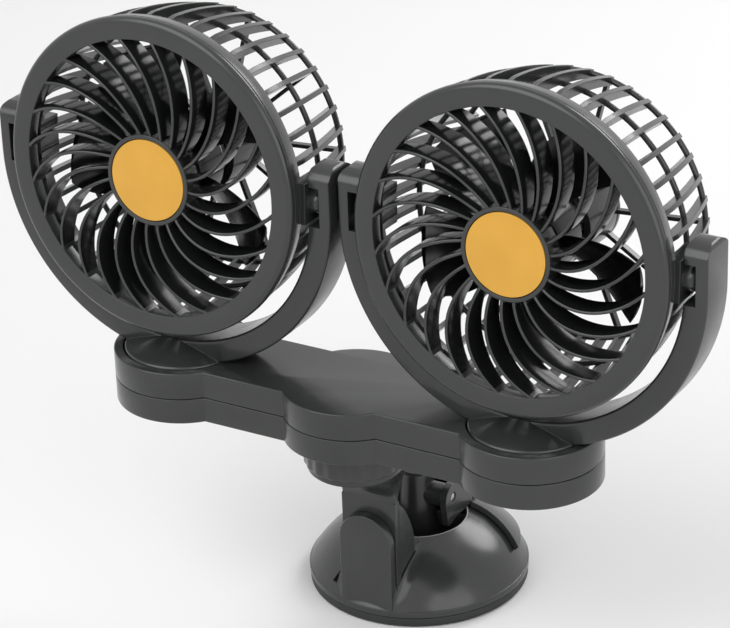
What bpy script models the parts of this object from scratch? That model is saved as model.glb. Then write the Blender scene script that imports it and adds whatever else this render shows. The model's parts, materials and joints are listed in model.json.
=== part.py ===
"""Dual head car fan on a lever-lock suction mount, built piece by piece.

Metres, +Z up. The origin is the centre of the suction face. The fans blow towards -Y, +X is the
fan at the viewer's right, and +Y is the back. Each head is modelled about its own tilt axis, with
+Y along the fan's axis to the rear, and an empty carries it to its place.
"""
import math

import bmesh
import bpy
from mathutils import Matrix, Vector

# General clearances
GAP = 0.0003
RUNNING_GAP = 0.0006
OVERRUN = 0.001
SCREW_GAP = 0.0003
BURIED = 0.0006

# Front grille
OPENING_RADIUS = 0.0512
BEZEL_FACE_WIDTH = 0.0058
BEZEL_CHAMFER = 0.0022
BEZEL_FACE_FORWARD = 0.0160
BEZEL_DEPTH = 0.0028
SPIGOT_WALL = 0.0026
SPIGOT_DEPTH = 0.0024
VANE_COUNT = 24
VANE_THICKNESS = 0.0013
VANE_DEPTH = 0.0066
VANE_SWEEP = math.radians(31.3)
VANE_LINEAR_SHARE = 0.605
VANE_START_ANGLE = math.radians(-5.1)
VANE_CROWN = 0.0030
VANE_STEPS = 3
HUB_RADIUS = 0.0168
HUB_RIM = 0.0015
HUB_DEPTH = 0.0070
HUB_WALL = 0.0018
BADGE_THICKNESS = 0.0009
BADGE_RECESS = 0.0012

# Rear cage
BAND_LENGTH = 0.0065
BAND_WALL = 0.0030
BAND_TAPER = 0.0014
RIB_COUNT = 40
RIB_THICKNESS = 0.0018
RIB_DEPTH_FRONT = 0.0046
RIB_DEPTH_REAR = 0.0032
RIB_DRAW_IN = 0.0080
RIB_DRAW_POWER = 1.7
RIB_STEPS = 2
CAGE_REAR = 0.0358
RIB_TAIL = 0.0006
MID_RING_BACK = 0.0155
MID_RING_WIDTH = 0.0021
MID_RING_HEIGHT = 0.0020
REAR_RING_WIDTH = 0.0024
REAR_RING_HEIGHT = 0.0020
REAR_RING_SINK = 0.0004
SPOKE_COUNT = 10
SPOKE_WIDTH = 0.0014
SPOKE_DEPTH = 0.0024
CAGE_SCREW_COUNT = 3
CAGE_SCREW_ANGLE = math.radians(90)

# Trunnions on the head and their seats in the yoke
TRUNNION_RADIUS = 0.0050
TRUNNION_PAD_HALF_HEIGHT = 0.0075
TRUNNION_PAD_REACH = 0.0068
JOURNAL_RADIUS = 0.0030
JOURNAL_LENGTH = 0.0018
SLOT_DEPTH = 0.0045
SLOT_BELOW = 0.0111

# Motor and impeller
MOTOR_RADIUS = 0.0122
MOTOR_LENGTH = 0.0180
MOTOR_NOSE_RADIUS = 0.0042
MOTOR_NOSE_LENGTH = 0.0018
MOTOR_FRONT = 0.0125
SHAFT_RADIUS = 0.0012
POD_WALL = 0.0026
POD_FRONT = 0.0160
BOARD_THICKNESS = 0.0012
COVER_THICKNESS = 0.0030
COVER_CROWN = 0.0008
BUTTON_RADIUS = 0.0042
BUTTON_PROUD = 0.0020
BUTTON_TRAVEL = 0.0012
BUTTON_FLANGE = 0.0010
IMPELLER_HUB_RADIUS = 0.0150
IMPELLER_HUB_WALL = 0.0018
IMPELLER_FRONT = 0.0068
IMPELLER_BACK = 0.0100
IMPELLER_BORE_WALL = 0.0024
BLADE_COUNT = 5
BLADE_TIP_CLEARANCE = 0.0098
BLADE_THICKNESS = 0.0022
BLADE_ROOT_PITCH = math.radians(38)
BLADE_TIP_PITCH = math.radians(22)
BLADE_ROOT_ARC = math.radians(43)
BLADE_TIP_ARC = math.radians(42)
BLADE_SKEW = math.radians(-18)
ROTOR_REST_TURNS = (math.radians(19), math.radians(0))
BLADE_STEPS = 3
BLADE_CHORD_STEPS = 3

# Yoke and turntable
HEAD_SIDE_GAP = 0.0018
YOKE_BAND_WIDTH = 0.0077
YOKE_DEPTH = 0.0184
YOKE_DROP = 0.0033
YOKE_TIP_ABOVE = 0.0175
YOKE_TIP_CORNER = 0.0058
YOKE_EDGE = 0.0008
YOKE_TO_YOKE_GAP = 0.0035
TURNTABLE_RADIUS = 0.0218
TURNTABLE_RIM = 0.0044
TURNTABLE_PROUD = 0.0003
TURNTABLE_CHAMFER = 0.0004
CONE_RISE = 0.0049
CONE_TOP_RADIUS = 0.0090
SPINDLE_RADIUS = 0.0050
WASHER_RADIUS = 0.0085
WASHER_THICKNESS = 0.0020
YOKE_REST_TURN = math.radians(-1.25)
HEAD_REST_TILT = math.radians(2.6)

# Cross bar
WELL_GROOVE = 0.0006
WELL_LIP = 0.0033
WAIST_HALF_WIDTH = 0.0177
UPPER_SHELL_HEIGHT = 0.0101
LOWER_SHELL_HEIGHT = 0.0089
BAR_WALL = 0.0022
BAR_FLOOR = 0.0024
BAR_EDGE = 0.0005
BOSS_WALL = 0.0014
BAR_SCREW_ALONG = 0.0355
BAR_SCREW_ACROSS = 0.0108
BUSHING_RADIUS = 0.0032
BUSHING_BORE = 0.0018
BUSHING_FLANGE = 0.0008
BUSHING_PROUD = 0.0012

# Clamp ring and neck
RING_RADIUS = 0.0191
RING_HEIGHT = 0.0129
FLUTE_COUNT = 20
FLUTE_DEPTH = 0.0008
FLUTE_RIDGE_SHARE = 0.42
FLUTE_GROOVE_SHARE = 0.375
RING_BASE = 0.0030
SPIGOT_TUBE_WALL = 0.0040
NECK_SPINDLE_RADIUS = 0.0090
TURRET_RADIUS = 0.0172
TURRET_RIM = 0.0020
TURRET_TOP = 0.0682
NECK_HALF_WIDTH = 0.0111
NECK_PLATE_THICKNESS = 0.0030
NECK_PLATE_TOP = 0.0495
NECK_FLARE_RISE_SHARE = 0.52
NECK_FLARE_REACH_SHARE = 0.22
NECK_WIDTH_POWER = 0.75
CHEEK_THICKNESS = 0.0028
CHEEK_TOP = 0.0490
CHEEK_SHOULDER = 0.0290
CHEEK_DEPTH = 0.0110
CHEEK_BULGE = 0.0014
CHEEK_STEPS = 3
BAR_OVERHANG = 0.0022

# Suction mount
CUP_RADIUS = 0.0419
PAD_INSET = 0.0014
PAD_THICKNESS = 0.0036
PAD_BEVEL = 0.0006
PAD_FLOOR = 0.0032
PAD_HUB_WALL = 0.0027
PAD_HUB_HEIGHT = 0.0084
PAD_HUB_LIP = 0.0017
LIP_HEIGHT = 0.0032
LIP_STEP = 0.0006
DOME_TOP = 0.0254
DOME_OPENING_RADIUS = 0.0182
DOME_BULGE = 0.0026
DOME_WALL = 0.0024
DOME_RIM_EDGE = 0.0004
DOME_STEPS = 4
COVER_HALF_WIDTH = 0.0106
COVER_SETBACK = 0.0017
COVER_PLATE_THICKNESS = 0.0036
COVER_PLATE_TOP = 0.0439
COVER_PLATE_BOTTOM = 0.0043
COVER_EDGE = 0.0005
BRACKET_SCREW_LOW = 0.0160
BRACKET_SCREW_HIGH = 0.0310
POST_RADIUS = 0.0072
POST_TOP_RADIUS = 0.0062
POST_ABOVE_PIN = 0.0092
KNUCKLE_RADIUS = 0.0034
POST_FOOT_RADIUS = 0.0130
POST_FOOT_THICKNESS = 0.0020
POST_TRAVEL = 0.0030
PIN_HEIGHT = 0.0354
PIN_RADIUS = 0.0016
EAR_OUTER = 0.0153
EAR_THICKNESS = 0.0027
EAR_NOSE_RADIUS = 0.0058
EAR_BOTTOM = 0.0250
EAR_TIP_FRONT = 0.0042
EAR_TIP_BACK = 0.0014
EAR_RIM_CLEARANCE = 0.0008
LEVER_CLEARANCE = 0.0009
LEVER_THICKNESS = 0.0026
LEVER_TOP_HALF_ANGLE = math.radians(51)
LEVER_END_HALF_ANGLE = math.radians(59)
LEVER_END_SHARE = 0.17
LEVER_TOP_SHARE = 0.95
HOOD_START = 0.0128
HOOD_TOP_ABOVE_PIN = 0.0022
LEVER_STEPS = 4
LEVER_SIDE_STEPS = 8

# Screws
SCREW_RADIUS = 0.0012
SCREW_HEAD_RADIUS = 0.0026
SCREW_HEAD_HEIGHT = 0.0015
SCREW_SEGMENTS = 6
SMALL_SCREW_RADIUS = 0.0008
SMALL_SCREW_HEAD_RADIUS = 0.0016
SMALL_SCREW_HEAD_HEIGHT = 0.0011

# Facets round a full turn
FINE = 40
CAGE_FACETS = 40
MEDIUM = 20
SMALL = 12
ARC_STEPS = 18
LOBE_STEPS = 16

# Sizes that follow from the ones above
HEAD_RADIUS = OPENING_RADIUS + BEZEL_FACE_WIDTH + BEZEL_CHAMFER
YOKE_INNER = HEAD_RADIUS + HEAD_SIDE_GAP
YOKE_OUTER = YOKE_INNER + YOKE_BAND_WIDTH
HEAD_SPACING = 2 * YOKE_OUTER + YOKE_TO_YOKE_GAP
LOBE_RADIUS = TURNTABLE_RADIUS + WELL_GROOVE + WELL_LIP
RING_BOTTOM = TURRET_TOP + GAP
BAR_BOTTOM = RING_BOTTOM + RING_HEIGHT + GAP
SEAM_LOW = BAR_BOTTOM + LOWER_SHELL_HEIGHT
SEAM_HIGH = SEAM_LOW + GAP
BAR_TOP = SEAM_HIGH + UPPER_SHELL_HEIGHT
WELL_FLOOR = BAR_TOP + TURNTABLE_PROUD - TURNTABLE_RIM - GAP
WELL_UNDERSIDE = WELL_FLOOR - BAR_FLOOR
CONE_TOP = BAR_TOP + TURNTABLE_PROUD + CONE_RISE
YOKE_FLOOR = CONE_TOP + TURNTABLE_CHAMFER
PIVOT_HEIGHT = YOKE_FLOOR + YOKE_INNER + YOKE_DROP
BAND_FRONT = -BEZEL_FACE_FORWARD + BEZEL_DEPTH + GAP
BAND_BACK = BAND_FRONT + BAND_LENGTH
BAND_RADIUS = HEAD_RADIUS - BAND_TAPER
BAND_INNER = HEAD_RADIUS - BAND_WALL - BAND_TAPER
POD_INNER = MOTOR_RADIUS + GAP
POD_RADIUS = POD_INNER + POD_WALL
BLADE_TIP_RADIUS = BAND_INNER - BAND_TAPER - BLADE_TIP_CLEARANCE
PAD_RADIUS = CUP_RADIUS - PAD_INSET
COVER_FACE_AHEAD = CUP_RADIUS - COVER_SETBACK
BAR_AHEAD = CUP_RADIUS + BAR_OVERHANG
LIP_BOTTOM = PAD_THICKNESS + GAP
LIP_TOP = LIP_BOTTOM + LIP_HEIGHT
NECK_FRONT = COVER_FACE_AHEAD - COVER_PLATE_THICKNESS - GAP
SCREW_HOLE_RADIUS = SCREW_RADIUS + SCREW_GAP


def clear_scene():
    for item in list(bpy.data.objects):
        bpy.data.objects.remove(item, do_unlink=True)


def make_material(name, colour, roughness, metallic=0.0):
    material = bpy.data.materials.new(name)
    material.use_nodes = True
    shader = material.node_tree.nodes["Principled BSDF"]
    shader.inputs["Base Color"].default_value = (*colour, 1.0)
    shader.inputs["Roughness"].default_value = roughness
    shader.inputs["Metallic"].default_value = metallic
    return material


def make_materials():
    return {
        "charcoal": make_material("charcoal plastic", (0.105, 0.108, 0.109), 0.38),
        "black": make_material("black plastic", (0.022, 0.022, 0.023), 0.42),
        "orange": make_material("orange badge", (0.84, 0.48, 0.11), 0.45),
        "rubber": make_material("suction rubber", (0.055, 0.056, 0.058), 0.55),
        "steel": make_material("bright steel", (0.62, 0.62, 0.63), 0.28, 1.0),
        "board": make_material("circuit board", (0.03, 0.14, 0.07), 0.5),
    }


def finish_mesh(mesh_builder, name):
    """Closes a bmesh into mesh data with its faces out and round parts smooth."""
    bmesh.ops.recalc_face_normals(mesh_builder, faces=mesh_builder.faces)
    mesh = bpy.data.meshes.new(name)
    mesh_builder.to_mesh(mesh)
    mesh_builder.free()
    return mesh


def add_object(name, mesh, material, parent=None):
    piece = bpy.data.objects.new(name, mesh)
    bpy.context.scene.collection.objects.link(piece)
    if material is not None:
        mesh.materials.clear()
        mesh.materials.append(material)
    mesh.shade_smooth()
    mesh.set_sharp_from_angle(angle=math.radians(32))
    piece.parent = parent
    return piece


def add_empty(name, location, parent=None, rotation=(0, 0, 0)):
    empty = bpy.data.objects.new(name, None)
    bpy.context.scene.collection.objects.link(empty)
    empty.location = location
    empty.rotation_euler = rotation
    empty.parent = parent
    return empty


def turned(profile, facets, axis="Z", phase=0.0):
    """A closed body turned about an axis from (radius, height) points.

    A profile that starts and ends on the axis gets flat caps, and any other one is a closed loop.
    """
    builder = bmesh.new()
    capped = profile[0][0] == 0
    points = profile[1:-1] if capped else profile
    columns = []
    for radius, height in points:
        column = []
        for index in range(facets):
            angle = phase + math.tau * index / facets
            across = radius * math.cos(angle)
            up = radius * math.sin(angle)
            if axis == "Z":
                place = (across, up, height)
            elif axis == "Y":
                place = (across, height, up)
            else:
                place = (height, across, up)
            column.append(builder.verts.new(place))
        columns.append(column)
    following = columns[1:] if capped else columns[1:] + columns[:1]
    for first, second in zip(columns, following):
        for index in range(facets):
            after = (index + 1) % facets
            builder.faces.new((first[index], first[after], second[after], second[index]))
    if capped:
        builder.faces.new(columns[0])
        builder.faces.new(columns[-1])
    return finish_mesh(builder, "turned")


def lofted(sections):
    """A closed body through sections, each a list of the same number of 3-D points."""
    builder = bmesh.new()
    rings = [[builder.verts.new(point) for point in section] for section in sections]
    for low, high in zip(rings, rings[1:]):
        for index in range(len(low)):
            after = (index + 1) % len(low)
            builder.faces.new((low[index], low[after], high[after], high[index]))
    builder.faces.new(list(reversed(rings[0])))
    builder.faces.new(rings[-1])
    return finish_mesh(builder, "lofted")


def extruded(outline, start, end, plane="XY"):
    """A prism of a 2-D outline, along the axis that the plane leaves out."""
    order = {"XY": lambda u, v, w: (u, v, w), "XZ": lambda u, v, w: (u, w, v),
             "YZ": lambda u, v, w: (w, u, v)}[plane]
    return lofted([[order(u, v, level) for u, v in outline] for level in (start, end)])


def box(low, high):
    outline = [(low[0], low[1]), (high[0], low[1]), (high[0], high[1]), (low[0], high[1])]
    return extruded(outline, low[2], high[2])


def cylinder(radius, start, end, axis="Z", facets=SMALL, phase=0.0):
    return turned([(0, start), (radius, start), (radius, end), (0, end)], facets, axis, phase)


def moved(mesh, offset):
    mesh.transform(Matrix.Translation(Vector(offset)))
    return mesh


def joined(meshes):
    """Separate bodies in one mesh, for a single Boolean step."""
    builder = bmesh.new()
    for mesh in meshes:
        builder.from_mesh(mesh)
    return finish_mesh(builder, "joined")


def combined(base, steps):
    """Runs Boolean steps, each ("UNION" or "DIFFERENCE", mesh), on a mesh and returns the result."""
    body = bpy.data.objects.new("body", base)
    bpy.context.scene.collection.objects.link(body)
    for operation, mesh in steps:
        tool = bpy.data.objects.new("tool", mesh)
        tool.hide_render = True
        tool.display_type = "WIRE"
        bpy.context.scene.collection.objects.link(tool)
        modifier = body.modifiers.new("step", "BOOLEAN")
        modifier.operation = operation
        modifier.solver = "EXACT"
        modifier.object = tool
        graph = bpy.context.evaluated_depsgraph_get()
        result = bpy.data.meshes.new_from_object(body.evaluated_get(graph))
        body.modifiers.clear()
        body.data = result
        bpy.data.objects.remove(tool, do_unlink=True)
    result = body.data
    bpy.data.objects.remove(body, do_unlink=True)
    return result


def arc(centre, radius, start, end, steps):
    """Points on an arc in a plane, both ends included."""
    return [(centre[0] + radius * math.cos(start + (end - start) * index / steps),
             centre[1] + radius * math.sin(start + (end - start) * index / steps))
            for index in range(steps + 1)]


def ring_of(mesh_maker, count, start=0.0):
    """Copies of a mesh turned about Y, counter-clockwise seen from the front."""
    copies = []
    for index in range(count):
        mesh = mesh_maker()
        mesh.transform(Matrix.Rotation(-(start + math.tau * index / count), 4, "Y"))
        copies.append(mesh)
    return copies


def screw(length, radius=SCREW_RADIUS, head_radius=SCREW_HEAD_RADIUS, head_height=SCREW_HEAD_HEIGHT):
    """A pan-head screw along +Z, its head's underside at z = 0."""
    profile = [(0, -head_height), (head_radius - head_height / 2, -head_height), (head_radius, 0),
               (radius, 0), (radius, length - radius), (radius / 2, length), (0, length)]
    return turned(profile, SCREW_SEGMENTS)


# Front grille

def vane_front(radius):
    """How far a vane's front edge stands from the tilt axis at a radius, domed between its ends."""
    middle = (HUB_RADIUS + OPENING_RADIUS) / 2
    reach = (OPENING_RADIUS - HUB_RADIUS) / 2
    share = (radius - middle) / reach
    return -BEZEL_FACE_FORWARD - VANE_CROWN * (1 - share * share)


def vane_angle(radius):
    share = (radius - HUB_RADIUS) / (OPENING_RADIUS - HUB_RADIUS)
    return VANE_SWEEP * (VANE_LINEAR_SHARE * share + (1 - VANE_LINEAR_SHARE) * share * share)


def vane():
    """One spiral vane, from inside the hub's wall to inside the bezel's wall."""
    inner = HUB_RADIUS - HUB_WALL / 2
    outer = OPENING_RADIUS + SPIGOT_WALL / 2
    back = -BEZEL_FACE_FORWARD + VANE_DEPTH
    sections = []
    for index in range(VANE_STEPS + 1):
        radius = inner + (outer - inner) * index / VANE_STEPS
        angle = vane_angle(radius)
        centre = Vector((radius * math.cos(angle), radius * math.sin(angle)))
        ahead = radius + BURIED
        ahead_point = Vector((ahead * math.cos(vane_angle(ahead)), ahead * math.sin(vane_angle(ahead))))
        along = (ahead_point - centre).normalized()
        side = Vector((-along.y, along.x)) * (VANE_THICKNESS / 2)
        front = min(vane_front(radius), -BEZEL_FACE_FORWARD + BURIED)
        left = centre + side
        right = centre - side
        sections.append([(left.x, front, left.y), (right.x, front, right.y),
                         (right.x, back, right.y), (left.x, back, left.y)])
    return lofted(sections)


def grille_mesh():
    face = -BEZEL_FACE_FORWARD
    shoulder = face + BEZEL_DEPTH
    spigot = OPENING_RADIUS + SPIGOT_WALL
    bezel = turned([(OPENING_RADIUS, face), (OPENING_RADIUS + BEZEL_FACE_WIDTH, face),
                    (HEAD_RADIUS - BEZEL_CHAMFER / 4, face + BEZEL_CHAMFER * 2 / 3),
                    (HEAD_RADIUS, face + BEZEL_CHAMFER),
                    (HEAD_RADIUS, shoulder), (spigot, shoulder), (spigot, shoulder + SPIGOT_DEPTH),
                    (OPENING_RADIUS, shoulder + SPIGOT_DEPTH)], FINE, "Y")
    rim = face - GAP
    recess = rim + BADGE_RECESS
    hub_back = face + HUB_DEPTH
    hub = turned([(0, recess), (HUB_RADIUS - HUB_RIM, recess), (HUB_RADIUS - HUB_RIM, rim),
                  (HUB_RADIUS, rim), (HUB_RADIUS, hub_back), (HUB_RADIUS - HUB_WALL, hub_back),
                  (HUB_RADIUS - HUB_WALL, recess + HUB_WALL), (0, recess + HUB_WALL)], MEDIUM, "Y")
    vanes = joined(ring_of(vane, VANE_COUNT, VANE_START_ANGLE))
    return combined(vanes, [("UNION", bezel), ("UNION", hub)])


def badge_mesh():
    front = -BEZEL_FACE_FORWARD - GAP + BADGE_RECESS - GAP - BADGE_THICKNESS
    return cylinder(HUB_RADIUS - HUB_RIM - GAP, front, front + BADGE_THICKNESS, "Y", MEDIUM)


# Rear cage

def cage_radius(back):
    """The ribs' outer radius at a distance behind the tilt axis, drawn in towards the rear."""
    share = max(0.0, (back - BAND_BACK) / (CAGE_REAR - BAND_BACK))
    return BAND_RADIUS - RIB_DRAW_IN * share ** RIB_DRAW_POWER


def rib_depth(back):
    share = max(0.0, (back - BAND_BACK) / (CAGE_REAR - BAND_BACK))
    return RIB_DEPTH_FRONT + (RIB_DEPTH_REAR - RIB_DEPTH_FRONT) * share


def rib():
    """One fin of the drum, from inside the band to just past the rear ring."""
    start = BAND_BACK - BURIED
    end = CAGE_REAR + RIB_TAIL
    sections = []
    for index in range(RIB_STEPS + 1):
        back = start + (end - start) * index / RIB_STEPS
        outer = cage_radius(back)
        if index == 0:
            outer -= BURIED
        inner = outer - rib_depth(back)
        half = RIB_THICKNESS / 2
        sections.append([(outer, back, -half), (outer, back, half), (inner, back, half),
                         (inner, back, -half)])
    return lofted(sections)


def cage_ring(outer, inner, front, back):
    """A ring with a three-cornered section, its point buried in the ribs."""
    return turned([(outer, (front + back) / 2), (inner, back), (inner, front)], CAGE_FACETS, "Y")


def spoke():
    """One radial spoke of the rear face, from the pod to the rear ring."""
    inner = POD_RADIUS - POD_WALL / 2
    outer = rear_ring_outer() - REAR_RING_HEIGHT / 2
    back = CAGE_REAR - REAR_RING_WIDTH / 4
    return box((inner, back - SPOKE_DEPTH, -SPOKE_WIDTH / 2), (outer, back, SPOKE_WIDTH / 2))


def rear_ring_outer():
    back = CAGE_REAR - REAR_RING_WIDTH / 2
    return cage_radius(back) - REAR_RING_SINK


def trunnion(side):
    """The flat pad, boss and journal that carry the head at one side."""
    pad_face = HEAD_RADIUS + HEAD_SIDE_GAP / 2
    boss_end = YOKE_INNER + SLOT_DEPTH - GAP
    journal_end = boss_end + JOURNAL_LENGTH
    pad = box((BAND_INNER, BAND_BACK - BURIED - BAND_WALL / 2, -TRUNNION_PAD_HALF_HEIGHT),
              (pad_face, TRUNNION_PAD_REACH, TRUNNION_PAD_HALF_HEIGHT))
    boss = turned([(0, BAND_RADIUS), (TRUNNION_RADIUS, BAND_RADIUS), (TRUNNION_RADIUS, boss_end),
                   (JOURNAL_RADIUS, boss_end), (JOURNAL_RADIUS, journal_end), (0, journal_end)],
                  SMALL, "X")
    body = combined(pad, [("UNION", boss)])
    if side < 0:
        body.transform(Matrix.Rotation(math.pi, 4, "Y"))
    return body


def cage_screw_places():
    """Angles of the small screws that hold the cage to the grille, between two ribs."""
    pitch = math.tau / RIB_COUNT
    places = []
    for index in range(CAGE_SCREW_COUNT):
        angle = CAGE_SCREW_ANGLE + math.tau * index / CAGE_SCREW_COUNT
        places.append(round(angle / pitch) * pitch)
    return places


def cage_mesh():
    ribs = joined(ring_of(rib, RIB_COUNT, math.pi / RIB_COUNT))
    band = turned([(HEAD_RADIUS, BAND_FRONT), (BAND_RADIUS, BAND_BACK),
                   (BAND_RADIUS - RIB_DEPTH_FRONT - GAP, BAND_BACK), (BAND_INNER, BAND_FRONT)],
                  CAGE_FACETS, "Y")
    mid_outer = cage_radius(MID_RING_BACK) - rib_depth(MID_RING_BACK) + MID_RING_HEIGHT / 3
    half = MID_RING_WIDTH / 2
    mid_ring = cage_ring(mid_outer, mid_outer - MID_RING_HEIGHT, MID_RING_BACK - half,
                         MID_RING_BACK + half)
    rear_outer = rear_ring_outer()
    rear_ring = cage_ring(rear_outer, rear_outer - REAR_RING_HEIGHT, CAGE_REAR - REAR_RING_WIDTH,
                          CAGE_REAR)
    pod = turned([(POD_RADIUS, POD_FRONT), (POD_RADIUS, CAGE_REAR), (POD_INNER, CAGE_REAR),
                  (POD_INNER, POD_FRONT)], MEDIUM, "Y", math.pi / MEDIUM)
    spokes = joined(ring_of(spoke, SPOKE_COUNT, math.pi / RIB_COUNT))
    steps = [("UNION", joined([band, mid_ring, rear_ring])),
             ("UNION", joined([trunnion(1), trunnion(-1)])),
             ("UNION", spokes), ("UNION", pod)]
    holes = []
    for angle in cage_screw_places():
        hole = cylinder(SMALL_SCREW_RADIUS + SCREW_GAP, BAND_FRONT - OVERRUN, BAND_BACK + OVERRUN, "Y",
                        SCREW_SEGMENTS)
        holes.append(moved(hole, cage_screw_centre(angle)))
    steps.append(("DIFFERENCE", joined(holes)))
    return combined(ribs, steps)


def cage_screw_centre(angle):
    radius = BAND_INNER + BAND_WALL / 2
    return (radius * math.cos(angle), 0, radius * math.sin(angle))


def grille_screw_holes():
    holes = []
    bottom = -BEZEL_FACE_FORWARD + BEZEL_DEPTH / 2
    for angle in cage_screw_places():
        hole = cylinder(SMALL_SCREW_RADIUS + SCREW_GAP, bottom, BAND_FRONT + OVERRUN, "Y",
                        SCREW_SEGMENTS)
        holes.append(moved(hole, cage_screw_centre(angle)))
    return joined(holes)


# Motor, impeller and switch

def motor_mesh():
    front = MOTOR_FRONT
    back = MOTOR_FRONT + MOTOR_LENGTH
    bore = SHAFT_RADIUS + GAP
    return turned([(0, back), (MOTOR_RADIUS, back), (MOTOR_RADIUS, front + MOTOR_NOSE_LENGTH / 2),
                   (MOTOR_RADIUS - MOTOR_NOSE_LENGTH / 2, front), (MOTOR_NOSE_RADIUS, front),
                   (MOTOR_NOSE_RADIUS, front - MOTOR_NOSE_LENGTH), (bore, front - MOTOR_NOSE_LENGTH),
                   (bore, back - MOTOR_NOSE_LENGTH), (0, back - MOTOR_NOSE_LENGTH)], MEDIUM, "Y")


def shaft_mesh():
    start = -IMPELLER_FRONT + IMPELLER_HUB_WALL + GAP
    end = MOTOR_FRONT + MOTOR_LENGTH - MOTOR_NOSE_LENGTH - GAP
    return cylinder(SHAFT_RADIUS, start, end, "Y", SMALL)


def board_mesh():
    front = MOTOR_FRONT + MOTOR_LENGTH + GAP
    return cylinder(MOTOR_RADIUS - GAP, front, front + BOARD_THICKNESS, "Y", MEDIUM)


def cover_mesh():
    """The cap behind the motor, with the button's hole."""
    front = CAGE_REAR + GAP
    hole = BUTTON_RADIUS + GAP
    back = front + COVER_THICKNESS
    shoulder = back - COVER_CROWN
    return turned([(POD_RADIUS, front), (POD_RADIUS, shoulder), (POD_RADIUS - COVER_CROWN * 2, back),
                   (hole, back), (hole, front)], MEDIUM, "Y")


def button_mesh():
    """The push button, held behind the cover by a flange."""
    back = CAGE_REAR + GAP + COVER_THICKNESS + BUTTON_PROUD
    flange_back = CAGE_REAR
    flange_front = flange_back - BUTTON_FLANGE
    flange = BUTTON_RADIUS + BUTTON_FLANGE
    return turned([(0, flange_front), (flange, flange_front), (flange, flange_back),
                   (BUTTON_RADIUS, flange_back), (BUTTON_RADIUS, back - COVER_CROWN / 2),
                   (BUTTON_RADIUS - COVER_CROWN / 2, back), (0, back)], SMALL, "Y")


def blade():
    """One broad pitched blade, lofted from chords at growing radii."""
    root = IMPELLER_HUB_RADIUS - IMPELLER_HUB_WALL / 2
    sections = []
    for step in range(BLADE_STEPS + 1):
        share = step / BLADE_STEPS
        radius = root + (BLADE_TIP_RADIUS - root) * share
        pitch = BLADE_ROOT_PITCH + (BLADE_TIP_PITCH - BLADE_ROOT_PITCH) * share
        width = BLADE_ROOT_ARC + (BLADE_TIP_ARC - BLADE_ROOT_ARC) * share
        centre = BLADE_SKEW * share
        half_rise = min(radius * math.tan(pitch) * width / 2, (IMPELLER_BACK + IMPELLER_FRONT) / 2 - GAP)
        middle = (IMPELLER_BACK - IMPELLER_FRONT) / 2
        front_line = []
        back_line = []
        for index in range(BLADE_CHORD_STEPS + 1):
            along = index / BLADE_CHORD_STEPS - 1 / 2
            angle = centre + width * along
            rise = middle - 2 * half_rise * along
            half = BLADE_THICKNESS / 2 * (1 - (2 * along) ** 4 / 2)
            x = radius * math.cos(angle)
            z = radius * math.sin(angle)
            front_line.append((x, rise - half, z))
            back_line.append((x, rise + half, z))
        sections.append(front_line + list(reversed(back_line)))
    return lofted(sections)


def impeller_mesh():
    front = -IMPELLER_FRONT
    inner = IMPELLER_HUB_RADIUS - IMPELLER_HUB_WALL
    bore = SHAFT_RADIUS + GAP / 2
    boss = bore + IMPELLER_BORE_WALL
    floor = front + IMPELLER_HUB_WALL
    boss_end = MOTOR_FRONT - MOTOR_NOSE_LENGTH - RUNNING_GAP
    hub = turned([(0, front), (IMPELLER_HUB_RADIUS - IMPELLER_HUB_WALL, front),
                  (IMPELLER_HUB_RADIUS, front + IMPELLER_HUB_WALL), (IMPELLER_HUB_RADIUS, IMPELLER_BACK),
                  (inner, IMPELLER_BACK), (inner, floor), (boss, floor), (boss, boss_end),
                  (bore, boss_end), (bore, floor), (0, floor)], SMALL, "Y")
    return combined(hub, [("UNION", joined(ring_of(blade, BLADE_COUNT)))])


# Yoke

def yoke_outline(inset):
    """The U in the XZ plane about the tilt axis, drawn in by an inset all round."""
    outer = YOKE_OUTER - inset
    inner = YOKE_INNER + inset
    top = YOKE_TIP_ABOVE - inset
    corner = YOKE_TIP_CORNER - inset
    inner_corner = YOKE_EDGE
    drop = -YOKE_DROP
    right_tip = arc((outer - corner, top - corner), corner, 0, math.pi / 2, 3)
    left_tip = arc((-outer + corner, top - corner), corner, math.pi / 2, math.pi, 3)
    outside = arc((0, drop), outer, math.pi, math.tau, ARC_STEPS)
    inside = arc((0, drop), inner, math.tau, math.pi, ARC_STEPS)
    return (outside + right_tip + [(inner + inner_corner, top), (inner, top - inner_corner)]
            + inside + [(-inner, top - inner_corner), (-inner - inner_corner, top)] + left_tip)


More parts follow.
